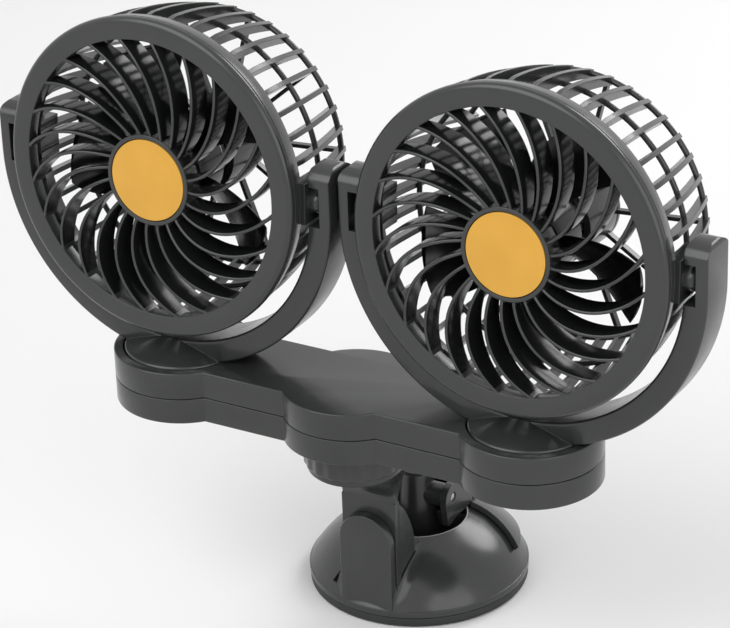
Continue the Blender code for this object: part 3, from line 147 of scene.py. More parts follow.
REAR_RING_HEIGHT = 0.0020
REAR_RING_SINK = 0.0004
SPOKE_COUNT = 10
SPOKE_WIDTH = 0.0014
SPOKE_DEPTH = 0.0024
TRUNNION_RADIUS = 0.0068
TRUNNION_PAD_HALF_HEIGHT = 0.0075
TRUNNION_PAD_REACH = 0.0068
JOURNAL_RADIUS = 0.0030
JOURNAL_LENGTH = 0.0018
SLOT_DEPTH = 0.0045
SLOT_BELOW = 0.0075
SLOT_ABOVE = 0.0072
MOTOR_RADIUS = 0.0122
MOTOR_LENGTH = 0.0180
MOTOR_NOSE_RADIUS = 0.0042
MOTOR_NOSE_LENGTH = 0.0018
MOTOR_FRONT = 0.0125
SHAFT_RADIUS = 0.0012
POD_WALL = 0.0026
POD_FRONT = 0.0160
COVER_THICKNESS = 0.0030
COVER_CROWN = 0.0008
BUTTON_RADIUS = 0.0042
BUTTON_PROUD = 0.0020
BUTTON_FLANGE = 0.0010
IMPELLER_HUB_RADIUS = 0.0150
IMPELLER_HUB_WALL = 0.0018
IMPELLER_FRONT = 0.0068
IMPELLER_BACK = 0.0100
BLADE_COUNT = 5
BLADE_TIP_CLEARANCE = 0.0098
BLADE_THICKNESS = 0.0022
BLADE_ROOT_PITCH = radians(38)
BLADE_TIP_PITCH = radians(22)
BLADE_ROOT_ARC = radians(43)
BLADE_TIP_ARC = radians(42)
BLADE_SKEW = radians(-18)
ROTOR_REST_TURNS = (radians(19), radians(0))

# Yokes
HEAD_SIDE_GAP = 0.0018
YOKE_BAND_WIDTH = 0.0087
YOKE_DEPTH = 0.0164
YOKE_DROP = 0.0033
YOKE_TIP_ABOVE = 0.0141
YOKE_TIP_CORNER = 0.0024
YOKE_TIP_CROWN = 0.0054
YOKE_EDGE = 0.0010
YOKE_TO_YOKE_GAP = 0.0015
TURNTABLE_RADIUS = 0.0218
TURNTABLE_RIM = 0.0044
TURNTABLE_PROUD = 0.0003
TURNTABLE_CHAMFER = 0.0004
CONE_RISE = 0.0049
CONE_TOP_RADIUS = 0.0090
SPINDLE_RADIUS = 0.0050
YOKE_REST_TURN = radians(-1.25)
HEAD_REST_TILT = radians(2.6)

# Bar and clamp ring
WELL_GROOVE = 0.0006
WELL_LIP = 0.0033
WAIST_HALF_WIDTH = 0.0177
UPPER_SHELL_HEIGHT = 0.0101
LOWER_SHELL_HEIGHT = 0.0096
BAR_WALL = 0.0022
BAR_FLOOR = 0.0024
BAR_EDGE = 0.0005
BOSS_WALL = 0.0014
BAR_SCREW_ALONG = 0.0355
BAR_SCREW_ACROSS = 0.0108
BUSHING_RADIUS = 0.0032
BUSHING_FLANGE = 0.0008
RING_RADIUS = 0.0186
RING_HEIGHT = 0.0106
FLUTE_COUNT = 20
FLUTE_DEPTH = 0.0008
RING_BASE = 0.0030
SPIGOT_TUBE_WALL = 0.0040
NECK_SPINDLE_RADIUS = 0.0090

# Neck
TURRET_RADIUS = 0.0172
TURRET_RIM = 0.0020
TURRET_TOP = 0.0698
NECK_HALF_WIDTH = 0.0111
NECK_PLATE_THICKNESS = 0.0030
NECK_PLATE_TOP = 0.0495
NECK_FLARE_RISE_SHARE = 0.52
NECK_FLARE_REACH_SHARE = 0.22
NECK_WIDTH_POWER = 0.75
NECK_SQUARENESS = 4
CHEEK_THICKNESS = 0.0028
CHEEK_TOP = 0.0490
CHEEK_SHOULDER = 0.0290
CHEEK_DEPTH = 0.0110
CHEEK_BULGE = 0.0014
BAR_OVERHANG = 0.0028

# Base, post and lever
CUP_RADIUS = 0.0413
PAD_INSET = 0.0003
PAD_THICKNESS = 0.0036
PAD_BEVEL = 0.0006
PAD_FLOOR = 0.0032
PAD_HUB_WALL = 0.0027
PAD_HUB_HEIGHT = 0.0084
PAD_HUB_LIP = 0.0017
LIP_HEIGHT = 0.0026
LIP_STEP = 0.0003
DOME_TOP = 0.0254
DOME_OPENING_RADIUS = 0.0182
DOME_BULGE = 0.0026
DOME_WALL = 0.0024
DOME_RIM_EDGE = 0.0004
COVER_HALF_WIDTH = 0.0106
COVER_SETBACK = 0.0011
COVER_PLATE_THICKNESS = 0.0036
COVER_PLATE_TOP = 0.0439
COVER_PLATE_BOTTOM = 0.0043
COVER_EDGE = 0.0005
BRACKET_SCREW_PLACES = ((0, 0, 0.0160), (0, 0, 0.0310))
SCREW_DEPTH_SHARE = 2 / 3
POST_RADIUS = 0.0072
POST_TOP_RADIUS = 0.0062
POST_ABOVE_PIN = 0.0092
KNUCKLE_RADIUS = 0.0044
POST_FOOT_RADIUS = 0.0130
POST_FOOT_THICKNESS = 0.0020
PIN_HEIGHT = 0.0354
PIN_RADIUS = 0.0016
EAR_OUTER = 0.0153
EAR_THICKNESS = 0.0027
EAR_NOSE_RADIUS = 0.0058
EAR_BOTTOM = 0.0250
EAR_TIP_FRONT = 0.0042
EAR_TIP_BACK = 0.0014
EAR_RIM_CLEARANCE = 0.0008
LEVER_CLEARANCE = 0.0003
LEVER_THICKNESS = 0.0021
LEVER_TOP_HALF_ANGLE = radians(51)
LEVER_END_HALF_ANGLE = radians(75)
LEVER_END_SHARE = 0.25
LEVER_TOP_SHARE = 0.95
HOOD_START = 0.0128
HOOD_TOP_ABOVE_PIN = 0.0022

# Screws
SCREW_RADIUS = 0.0012
SCREW_HEAD_RADIUS = 0.0026

# Sizes that follow from these
HEAD_RADIUS = OPENING_RADIUS + BEZEL_FACE_WIDTH + BEZEL_CHAMFER
YOKE_INNER = HEAD_RADIUS + HEAD_SIDE_GAP
YOKE_OUTER = YOKE_INNER + YOKE_BAND_WIDTH
HEAD_SPACING = 2 * YOKE_OUTER + YOKE_TO_YOKE_GAP
LOBE_PLACES = ((-HEAD_SPACING / 2, 0, 0), (HEAD_SPACING / 2, 0, 0))
BAR_SCREW_PLACES = [(along * BAR_SCREW_ALONG, across * BAR_SCREW_ACROSS, 0)
                    for along in (-1, 1) for across in (-1, 1)]
LOBE_RADIUS = TURNTABLE_RADIUS + WELL_GROOVE + WELL_LIP
RING_BOTTOM = TURRET_TOP + GAP
BAR_BOTTOM = RING_BOTTOM + RING_HEIGHT + GAP
SEAM_LOW = BAR_BOTTOM + LOWER_SHELL_HEIGHT
SEAM_HIGH = SEAM_LOW + GAP
BAR_TOP = SEAM_HIGH + UPPER_SHELL_HEIGHT
WELL_FLOOR = BAR_TOP + TURNTABLE_PROUD - TURNTABLE_RIM - GAP
WELL_UNDERSIDE = WELL_FLOOR - BAR_FLOOR
CONE_TOP = BAR_TOP + TURNTABLE_PROUD + CONE_RISE
YOKE_FLOOR = CONE_TOP + TURNTABLE_CHAMFER
PIVOT_HEIGHT = YOKE_FLOOR + YOKE_INNER + YOKE_DROP
FACE = -BEZEL_FACE_FORWARD
BAND_FRONT = FACE + BEZEL_DEPTH + GAP
BAND_BACK = BAND_FRONT + BAND_LENGTH
BAND_RADIUS = HEAD_RADIUS - BAND_TAPER
BAND_INNER = HEAD_RADIUS - BAND_WALL - BAND_TAPER
POD_INNER = MOTOR_RADIUS + GAP
POD_RADIUS = POD_INNER + POD_WALL
BLADE_TIP_RADIUS = BAND_INNER - BAND_TAPER - BLADE_TIP_CLEARANCE
PAD_RADIUS = CUP_RADIUS - PAD_INSET
COVER_FACE_AHEAD = CUP_RADIUS - COVER_SETBACK
BAR_AHEAD = CUP_RADIUS + BAR_OVERHANG
LIP_BOTTOM = PAD_THICKNESS + GAP
LIP_TOP = LIP_BOTTOM + LIP_HEIGHT
NECK_FRONT = COVER_FACE_AHEAD - COVER_PLATE_THICKNESS - GAP
SCREW_HOLE_RADIUS = SCREW_RADIUS + GAP

# Soft edges and finer forms
EASE_RADIUS = 0.0003
EASE_SHARE = 0.4
SHORT_EDGE = 0.0001
BLUNT_CORNER = radians(150)
SEAM_EDGE = 0.00025
FLUTE_SOFT_SHARE = 0.5
BLADE_CORNER_SHARE = 0.12
BLADE_CORNER_POWER = 6
BLADE_EDGE_SHARE = 0.92
SHARP_ANGLE = radians(30)
# How far a face may turn to the front and still get the vanes' painted shade
SHADED_SIDE_FACING = 0.6
FILLET_SIZE = 0.0070
TIGHT_GAP = 0.00005
FILLET_LEAST = 0.0004
FILLET_SINK = 0.00005
FILLET_HIGH_SHARE = 0.93
FILLET_POWER = 3
BOSS_HEIGHT_SHARE = 0.72
BOSS_ROUND = 0.0028
NOTCH_LEFT = -0.0172
NOTCH_LOW = 0.0096
NOTCH_WIDTH = 0.0022
NOTCH_HEIGHT = 0.0042
NOTCH_BACK = 0.0325
# Width of the painted highlight line on the dome's opening rim
RIM_HIGHLIGHT_WIDTH = 0.0011

# Facets of the round pieces and steps of the curves
FINE = 160
MEDIUM = 96
SMALL = 48
SCREW_SEGMENTS = 24
ARC_STEPS = 96
PLATE_STEPS = 60
LEVER_SIDE_STEPS = 40
FILLET_SECTIONS = 24
VANE_STEPS = 18
DOME_STEPS = 16
NECK_SECTIONS = 16
YOKE_TIP_STEPS = 14
EDGE_STEPS = 4
EASE_STEPS = 3
BEND_STEPS = 12
CURVE_STEPS = 10
FEW_STEPS = 5


# Building blocks

def mix(start, end, share):
    return start + (end - start) * share


def shares(count):
    """Even steps from 0 to 1, both included."""
    return [index / count for index in range(count + 1)]


def bow(share):
    """An arch over 0 to 1 that is 1 in its middle."""
    return 4 * share * (1 - share)


def arc(centre, radius, start, end, steps):
    """Points on an arc in a plane, both ends included."""
    return [(centre[0] + radius * cos(mix(start, end, share)),
             centre[1] + radius * sin(mix(start, end, share))) for share in shares(steps)]


def circle(radius, count, phase=0.0):
    return arc((0, 0), radius, phase, phase + tau, count)[:-1]


def bend(start, corner, end, steps):
    """Points on a soft curve from start to end, drawn towards a corner."""
    return [start * (1 - t) ** 2 + corner * 2 * t * (1 - t) + end * t ** 2 for t in shares(steps)]


def eased(profile):
    """A profile with each sharp corner rounded over, its two ends on the axis kept."""
    capped = profile[0][0] == 0
    count = len(profile)
    result = []
    for index, place in enumerate(profile):
        point = Vector(place)
        to_before = Vector(profile[index - 1]) - point
        to_after = Vector(profile[(index + 1) % count]) - point
        at_end = capped and index in (0, count - 1)
        if at_end or min(to_before.length, to_after.length) < SHORT_EDGE \
                or to_before.angle(to_after) > BLUNT_CORNER:
            result.append(place)
            continue
        reach = min(EASE_RADIUS, to_before.length * EASE_SHARE, to_after.length * EASE_SHARE)
        curve = bend(point + to_before.normalized() * reach, point,
                     point + to_after.normalized() * reach, EASE_STEPS)
        result += [(spot.x, spot.y) for spot in curve]
    return result


def rounded_levels(low, high, low_edge, high_edge):
    """(level, inset) pairs for a wall whose two ends are rounded over."""
    turns = [pi / 2 * share for share in shares(EDGE_STEPS)]
    return ([(low + low_edge * (1 - cos(turn)), low_edge * (1 - sin(turn))) for turn in turns]
            + [(high - high_edge * (1 - sin(turn)), high_edge * (1 - cos(turn))) for turn in turns])


def finish_mesh(builder):
    """Turns a bmesh's faces outward and makes mesh data of it."""
    bmesh.ops.recalc_face_normals(builder, faces=builder.faces)
    mesh = bpy.data.meshes.new("shape")
    builder.to_mesh(mesh)
    builder.free()
    return mesh


def lofted(sections, closed=False):
    """A body through sections of equally many 3-D points, with two caps or closed on itself."""
    builder = bmesh.new()
    rings = [[builder.verts.new(point) for point in section] for section in sections]
    following = rings[1:] + rings[:1] if closed else rings[1:]
    for low, high in zip(rings, following):
        for index in range(len(low)):
            after = (index + 1) % len(low)
            builder.faces.new((low[index], low[after], high[after], high[index]))
    if not closed:
        builder.faces.new(rings[0][::-1])
        builder.faces.new(rings[-1])
    return finish_mesh(builder)


def laid(axis, first, second, along):
    """A 3-D point from two coordinates across an axis and one along it."""
    return {"X": (along, first, second), "Y": (first, along, second), "Z": (first, second, along)}[axis]


def turned(profile, facets, axis="Z", phase=0.0):
    """A closed body turned about an axis from (radius, height) points.

    A profile that starts and ends on the axis gets flat caps, and any other one is a closed loop.
    """
    profile = eased(profile)
    capped = profile[0][0] == 0
    sections = []
    for radius, height in profile[1:-1] if capped else profile:
        sections.append([laid(axis, x, y, height) for x, y in circle(radius, facets, phase)])
    return lofted(sections, not capped)


def levelled(outline, levels, axis="Z"):
    """A body through (level, inset) pairs along an axis, its outline a function of the inset."""
    return lofted([[laid(axis, u, v, level) for u, v in outline(inset)] for level, inset in levels])


def extruded(outline, start, end, axis="Z"):
    return levelled(lambda inset: outline, ((start, 0), (end, 0)), axis)


def box(low, high):
    outline = [(low[0], low[1]), (high[0], low[1]), (high[0], high[1]), (low[0], high[1])]
    return extruded(outline, low[2], high[2])


def cylinder(radius, start, end, axis="Z", facets=SMALL):
    return turned([(0, start), (radius, start), (radius, end), (0, end)], facets, axis)


def stepped_bore(low_radius, low, level, high_radius, high, facets):
    """A round cutter that changes its radius at a level."""
    return turned([(0, low), (low_radius, low), (low_radius, level), (high_radius, level),
                   (high_radius, high), (0, high)], facets)


def moved(mesh, offset):
    mesh.transform(Matrix.Translation(Vector(offset)))
    return mesh


def joined(meshes):
    """Separate bodies in one mesh, for a single Boolean step."""
    builder = bmesh.new()
    for mesh in meshes:
        builder.from_mesh(mesh)
    return finish_mesh(builder)


def placed(mesh, places):
    """Copies of a mesh at several places, in one mesh."""
    return joined([moved(mesh.copy(), place) for place in places])


def on_both_sides(outline, inner, outer):
    """A prism of an outline in the YZ plane and its mirror image, in one mesh."""
    return joined([extruded(outline, -outer, -inner, "X"), extruded(outline, inner, outer, "X")])


def ring_of(mesh_maker, count, start=0.0):
    """Meshes turned about Y, counter-clockwise seen from the front, in one mesh."""
    copies = []
    for index in range(count):
        mesh = mesh_maker()
        mesh.transform(Matrix.Rotation(-(start + tau * index / count), 4, "Y"))
        copies.append(mesh)
    return joined(copies)


def new_object(name, data):
    result = bpy.data.objects.new(name, data)
    bpy.context.scene.collection.objects.link(result)
    return result


def boolean(operation, base, meshes):
    """Runs a Boolean step with each of the meshes on a base mesh and returns the result."""
    body = new_object("body", base)
    for mesh in meshes:
        tool = new_object("tool", mesh)
        modifier = body.modifiers.new("step", "BOOLEAN")
        modifier.operation = operation
        modifier.solver = "EXACT"
        modifier.object = tool
        graph = bpy.context.evaluated_depsgraph_get()
        result = bpy.data.meshes.new_from_object(body.evaluated_get(graph))
        body.modifiers.clear()
        body.data = result
        bpy.data.objects.remove(tool, do_unlink=True)
    result = body.data
    bpy.data.objects.remove(body, do_unlink=True)
    return result


def fused(base, *meshes):
    return boolean("UNION", base, meshes)


def cut(base, *meshes):
    return boolean("DIFFERENCE", base, meshes)


# The heads

def vane_point(radius):
    """A point on the spiral that the vanes follow."""
    share = (radius - HUB_RADIUS) / (OPENING_RADIUS - HUB_RADIUS)
    angle = VANE_SWEEP * (VANE_LINEAR_SHARE * share + (1 - VANE_LINEAR_SHARE) * share ** 2)
    return Vector((radius * cos(angle), radius * sin(angle)))


def vane_front(radius):
    """How far a vane's front edge stands from the tilt axis at a radius, domed between its ends."""
    share = (radius - HUB_RADIUS) / (OPENING_RADIUS - HUB_RADIUS)
    return FACE - VANE_CROWN * bow(share)


def vane():
    """One spiral vane with a rounded front edge, from inside the hub's wall to inside the bezel's."""
    back = FACE + VANE_DEPTH
    half = VANE_THICKNESS / 2
    sections = []
    for share in shares(VANE_STEPS):
        radius = mix(HUB_RADIUS - HUB_WALL / 2, OPENING_RADIUS + SPIGOT_WALL / 2, share)
        centre = vane_point(radius)
        along = (vane_point(radius + BURIED) - centre).normalized()
        side = Vector((-along.y, along.x))
        front = min(vane_front(radius), FACE + BURIED) + half
        edge = [(across, front - ahead) for across, ahead in arc((0, 0), half, 0, pi, FEW_STEPS)]
        section = []
        for across, level in edge + [(-half, back), (half, back)]:
            spot = centre + side * across
            section.append((spot.x, level, spot.y))
        sections.append(section)
    return lofted(sections)


def grille_mesh():
    """Bezel, vanes and hub ring in one moulding."""
    shoulder = FACE + BEZEL_DEPTH
    spigot = OPENING_RADIUS + SPIGOT_WALL
    corner = arc((HEAD_RADIUS - BEZEL_CHAMFER, FACE + BEZEL_CHAMFER), BEZEL_CHAMFER, -pi / 2, 0,
                 EDGE_STEPS * 2)
    bezel = turned([(OPENING_RADIUS, FACE)] + corner
                   + [(HEAD_RADIUS, shoulder), (spigot, shoulder), (spigot, shoulder + SPIGOT_DEPTH),
                      (OPENING_RADIUS, shoulder + SPIGOT_DEPTH)], FINE, "Y")
    rim = FACE - GAP
    recess = rim + BADGE_RECESS
    hub_back = FACE + HUB_DEPTH
    hub = turned([(0, recess), (HUB_RADIUS - HUB_RIM, recess), (HUB_RADIUS - HUB_RIM, rim),
                  (HUB_RADIUS, rim), (HUB_RADIUS, hub_back), (HUB_RADIUS - HUB_WALL, hub_back),
                  (HUB_RADIUS - HUB_WALL, recess + HUB_WALL), (0, recess + HUB_WALL)], MEDIUM, "Y")
    return fused(ring_of(vane, VANE_COUNT, VANE_START_ANGLE), bezel, hub)


def badge_mesh():
    front = FACE - GAP + BADGE_RECESS - GAP - BADGE_THICKNESS
    return cylinder(HUB_RADIUS - HUB_RIM - GAP, front, front + BADGE_THICKNESS, "Y", MEDIUM)


def rear_share(back):
    """How far along the ribs a distance behind the tilt axis lies."""
    return max(0.0, (back - BAND_BACK) / (CAGE_REAR - BAND_BACK))


def cage_radius(back):
    """The ribs' outer radius, drawn in towards the rear."""
    return BAND_RADIUS - RIB_DRAW_IN * rear_share(back) ** RIB_DRAW_POWER


def rib_depth(back):
    return mix(RIB_DEPTH_FRONT, RIB_DEPTH_REAR, rear_share(back))


def rear_ring_outer():
    return cage_radius(CAGE_REAR - REAR_RING_WIDTH / 2) - REAR_RING_SINK


def rib():
    """One fin of the drum, from inside the band to just past the rear ring."""
    half = RIB_THICKNESS / 2
    sections = []
    for share in shares(CURVE_STEPS):
        back = mix(BAND_BACK - BURIED, CAGE_REAR + RIB_TAIL, share)
        outer = cage_radius(back) - (BURIED if share == 0 else 0)
        inner = outer - rib_depth(back)
        sections.append([(outer, back, -half), (outer, back, half), (inner, back, half),
                         (inner, back, -half)])
    return lofted(sections)


def spoke():
    """One radial spoke of the rear face, from the pod to the rear ring."""
    inner = POD_RADIUS - POD_WALL / 2
    outer = rear_ring_outer() - REAR_RING_HEIGHT / 2
    back = CAGE_REAR - REAR_RING_WIDTH / 4
    return box((inner, back - SPOKE_DEPTH, -SPOKE_WIDTH / 2), (outer, back, SPOKE_WIDTH / 2))


def cage_ring(outer, height, level, width):
    """A ring with a rounded section, its outer side buried in the ribs."""
    section = [(outer + (across - 1) * height / 2, level + along * width / 2)
               for across, along in circle(1, 2 * CURVE_STEPS)]
    return turned(section, FINE, "Y")


def trunnion():
    """The flat pad, the oval domed boss and the journal that carry the head at one side."""
    boss_end = YOKE_INNER + SLOT_DEPTH - GAP
    journal_end = boss_end + JOURNAL_LENGTH
    pad = box((BAND_INNER, BAND_BACK - BURIED - BAND_WALL / 2, -TRUNNION_PAD_HALF_HEIGHT),
              (HEAD_RADIUS + HEAD_SIDE_GAP / 2, TRUNNION_PAD_REACH, TRUNNION_PAD_HALF_HEIGHT))
    dome = arc((TRUNNION_RADIUS - BOSS_ROUND, boss_end - BOSS_ROUND), BOSS_ROUND, 0, pi / 2, CURVE_STEPS)
    boss = turned([(0, BAND_RADIUS), (TRUNNION_RADIUS, BAND_RADIUS)] + dome
                  + [(JOURNAL_RADIUS, boss_end), (JOURNAL_RADIUS, journal_end), (0, journal_end)],
                  SMALL, "X")
    for vertex in boss.vertices:
        if hypot(vertex.co.y, vertex.co.z) > JOURNAL_RADIUS + BURIED:
            vertex.co.z *= BOSS_HEIGHT_SHARE
    return fused(pad, boss)


def cage_mesh():
    """The drum: ribs, front band, two rings, spokes, motor pod and trunnions."""
    band = turned([(HEAD_RADIUS, BAND_FRONT), (BAND_RADIUS, BAND_BACK),
                   (BAND_RADIUS - RIB_DEPTH_FRONT - GAP, BAND_BACK), (BAND_INNER, BAND_FRONT)],
                  FINE, "Y")
    mid_outer = cage_radius(MID_RING_BACK) - rib_depth(MID_RING_BACK) + MID_RING_HEIGHT * MID_RING_OUT_SHARE
    mid_ring = cage_ring(mid_outer, MID_RING_HEIGHT, MID_RING_BACK, MID_RING_WIDTH)
    rear_ring = cage_ring(rear_ring_outer(), REAR_RING_HEIGHT, CAGE_REAR - REAR_RING_WIDTH / 2,
                          REAR_RING_WIDTH)
    pod = turned([(POD_RADIUS, POD_FRONT), (POD_RADIUS, CAGE_REAR), (POD_INNER, CAGE_REAR),
                  (POD_INNER, POD_FRONT)], MEDIUM, "Y", pi / MEDIUM)
    ribs = ring_of(rib, RIB_COUNT, pi / RIB_COUNT)
    spokes = ring_of(spoke, SPOKE_COUNT, pi / RIB_COUNT)
    return fused(ribs, joined([band, mid_ring, rear_ring]), ring_of(trunnion, 2), spokes, pod)


def cover_mesh():
    """The cap behind the motor, with the button's hole."""
    front = CAGE_REAR + GAP
    hole = BUTTON_RADIUS + GAP
    back = front + COVER_THICKNESS
    return turned([(POD_RADIUS, front), (POD_RADIUS, back - COVER_CROWN),
                   (POD_RADIUS - COVER_CROWN * 2, back), (hole, back), (hole, front)], MEDIUM, "Y")


def button_mesh():
    """The push button, held behind the cover by a flange."""
    back = CAGE_REAR + GAP + COVER_THICKNESS + BUTTON_PROUD
    flange_front = CAGE_REAR - BUTTON_FLANGE
    flange = BUTTON_RADIUS + BUTTON_FLANGE
    return turned([(0, flange_front), (flange, flange_front), (flange, CAGE_REAR),
                   (BUTTON_RADIUS, CAGE_REAR), (BUTTON_RADIUS, back - COVER_CROWN / 2),
                   (BUTTON_RADIUS - COVER_CROWN / 2, back), (0, back)], SMALL, "Y")


def motor_mesh():
    front = MOTOR_FRONT
    back = MOTOR_FRONT + MOTOR_LENGTH
    bore = SHAFT_RADIUS + GAP
    return turned([(0, back), (MOTOR_RADIUS, back), (MOTOR_RADIUS, front + MOTOR_NOSE_LENGTH / 2),
                   (MOTOR_RADIUS - MOTOR_NOSE_LENGTH / 2, front), (MOTOR_NOSE_RADIUS, front),
                   (MOTOR_NOSE_RADIUS, front - MOTOR_NOSE_LENGTH), (bore, front - MOTOR_NOSE_LENGTH),
                   (bore, back - MOTOR_NOSE_LENGTH), (0, back - MOTOR_NOSE_LENGTH)], MEDIUM, "Y")


def blade():
    """One broad pitched blade with rounded edges, lofted from chords at growing radii."""
    root = IMPELLER_HUB_RADIUS - IMPELLER_HUB_WALL / 2
    middle = (IMPELLER_BACK - IMPELLER_FRONT) / 2
    room = (IMPELLER_BACK + IMPELLER_FRONT) / 2 - GAP
    sections = []
    for share in shares(CURVE_STEPS):
        radius = mix(root, BLADE_TIP_RADIUS, share)
        width = mix(BLADE_ROOT_ARC, BLADE_TIP_ARC, share)
        width *= 1 - BLADE_CORNER_SHARE * share ** BLADE_CORNER_POWER
        half_rise = min(radius * tan(mix(BLADE_ROOT_PITCH, BLADE_TIP_PITCH, share)) * width / 2, room)
        front_line = []
        back_line = []
        for chord_share in shares(CURVE_STEPS):
            along = chord_share - 1 / 2
            angle = BLADE_SKEW * share + width * along
            rise = middle - 2 * half_rise * along
            half = BLADE_THICKNESS / 2 * sqrt(1 - (2 * along) ** 2 * BLADE_EDGE_SHARE)
            x = radius * cos(angle)
            z = radius * sin(angle)
            front_line.append((x, rise - half, z))
            back_line.append((x, rise + half, z))
        sections.append(front_line + back_line[::-1])
    return lofted(sections)


def impeller_mesh():
    front = -IMPELLER_FRONT
    inner = IMPELLER_HUB_RADIUS - IMPELLER_HUB_WALL
    floor = front + IMPELLER_HUB_WALL
    hub = turned([(0, front), (inner, front), (IMPELLER_HUB_RADIUS, floor),
                  (IMPELLER_HUB_RADIUS, IMPELLER_BACK), (inner, IMPELLER_BACK), (inner, floor),
                  (0, floor)], MEDIUM, "Y")
    return fused(hub, ring_of(blade, BLADE_COUNT))


# The yokes and the bar

def yoke_outline(inset):
    """The U in the XZ plane about the tilt axis, drawn in by an inset all round."""
    outer = YOKE_OUTER - inset
    inner = YOKE_INNER + inset
    top = YOKE_TIP_ABOVE - inset
    corner = YOKE_TIP_CORNER - inset
    right_tip = arc((outer - corner, top - corner), corner, 0, pi / 2, YOKE_TIP_STEPS)
    right_tip += [(inner + YOKE_EDGE, top), (inner, top - YOKE_EDGE)]
    left_tip = [(-x, z) for x, z in reversed(right_tip)]
    outside = arc((0, -YOKE_DROP), outer, pi, tau, ARC_STEPS)
    inside = arc((0, -YOKE_DROP), inner, tau, pi, ARC_STEPS)
    return outside + right_tip + inside + left_tip


def yoke_tip_cutter():
    """What is cut from the top of both arms, so that each is crowned from front to back."""
    half = YOKE_DEPTH / 2
    shoulder = YOKE_TIP_ABOVE - YOKE_TIP_CROWN
    above = YOKE_TIP_ABOVE + OVERRUN
    crown = [(half * x, shoulder + YOKE_TIP_CROWN * y)
             for x, y in arc((0, 0), 1, 0, pi, 2 * YOKE_TIP_STEPS)]
    outline = crown + [(-half - OVERRUN, shoulder), (-half - OVERRUN, above), (half + OVERRUN, above),
                       (half + OVERRUN, shoulder)]
    reach = YOKE_OUTER + OVERRUN
    return extruded(outline, -reach, reach, "X")


def yoke_mesh():
    """The U with its crowned tips, slots and bores, on its round turntable and spindle."""
    half = YOKE_DEPTH / 2
    band = levelled(yoke_outline, rounded_levels(-half, half, YOKE_EDGE, YOKE_EDGE), "Y")
    rim_top = BAR_TOP + TURNTABLE_PROUD - PIVOT_HEIGHT
    rim_low = rim_top - TURNTABLE_RIM
    cone_top = rim_top + CONE_RISE
    spindle_end = WELL_UNDERSIDE - PIVOT_HEIGHT
    disc = turned([(0, cone_top), (CONE_TOP_RADIUS, cone_top),
                   (TURNTABLE_RADIUS - TURNTABLE_CHAMFER, rim_top + TURNTABLE_CHAMFER / 2),
                   (TURNTABLE_RADIUS, rim_top - TURNTABLE_CHAMFER), (TURNTABLE_RADIUS, rim_low),
                   (SPINDLE_RADIUS, rim_low), (SPINDLE_RADIUS, spindle_end), (0, spindle_end)], FINE)
    mouth = -half - OVERRUN
    play = TRUNNION_RADIUS + GAP
    slot_end = YOKE_INNER + SLOT_DEPTH
    slots = on_both_sides([(mouth, -SLOT_BELOW), (play, -SLOT_BELOW), (play, SLOT_ABOVE),
                           (mouth, SLOT_ABOVE)], YOKE_INNER - OVERRUN, slot_end)
    bores = ring_of(lambda: cylinder(JOURNAL_RADIUS + GAP, slot_end - OVERRUN, slot_end + JOURNAL_LENGTH,
                                     "X"), 2)
    screw_hole = cylinder(SCREW_HOLE_RADIUS, spindle_end - OVERRUN,
                          rim_low + TURNTABLE_RIM / 2 + GAP, "Z", SCREW_SEGMENTS)
    return cut(fused(cut(band, yoke_tip_cutter()), disc), slots, bores, screw_hole)


def bar_outline(inset, steps=ARC_STEPS):
    """Three round lobes joined by straight waists, drawn in by an inset."""
    radius = LOBE_RADIUS - inset
    opening = asin((WAIST_HALF_WIDTH - inset) / radius)
    far = HEAD_SPACING / 2
    return (arc((far, 0), radius, -pi + opening, pi - opening, steps)
            + arc((0, 0), radius, opening, pi - opening, steps // 3)
            + arc((-far, 0), radius, opening, tau - opening, steps)
            + arc((0, 0), radius, pi + opening, tau - opening, steps // 3))


def bar_hollow(low, high):
    return levelled(lambda inset: bar_outline(inset, ARC_STEPS // 2), ((low, BAR_WALL), (high, BAR_WALL)))


def upper_shell_mesh():
    """The bar's upper half, with the two wells that the turntables sit in."""
    roof = BAR_TOP - BAR_FLOOR
    block = levelled(bar_outline, rounded_levels(SEAM_HIGH, BAR_TOP, SEAM_EDGE, BAR_EDGE))
    low = WELL_UNDERSIDE - OVERRUN
    high = BAR_TOP + OVERRUN
    bore = SPINDLE_RADIUS + GAP
    well_radius = TURNTABLE_RADIUS + WELL_GROOVE
    seat = cylinder(LOBE_RADIUS - BAR_WALL / 2, WELL_UNDERSIDE, BAR_TOP - BAR_EDGE, "Z", MEDIUM)
    well = stepped_bore(bore, low, WELL_FLOOR, well_radius, high, FINE)
    boss = cylinder(SCREW_HOLE_RADIUS + BOSS_WALL, SEAM_HIGH, roof + BURIED, "Z", SMALL // 2)
    hole = cylinder(SCREW_HOLE_RADIUS, SEAM_HIGH - OVERRUN, roof - OVERRUN, "Z", SCREW_SEGMENTS)
    bushing_hole = cylinder(BUSHING_RADIUS + GAP, 0, BAR_WALL + 2 * OVERRUN, "Y", SMALL)
    bushing_place = (0, LOBE_RADIUS - BAR_WALL - OVERRUN, SEAM_HIGH + BUSHING_RADIUS + BUSHING_FLANGE)
    body = fused(cut(block, bar_hollow(SEAM_HIGH - OVERRUN, roof)), placed(seat, LOBE_PLACES),
                 placed(boss, BAR_SCREW_PLACES))
    return cut(body, joined([placed(well, LOBE_PLACES), placed(hole, BAR_SCREW_PLACES)]),
               moved(bushing_hole, bushing_place))


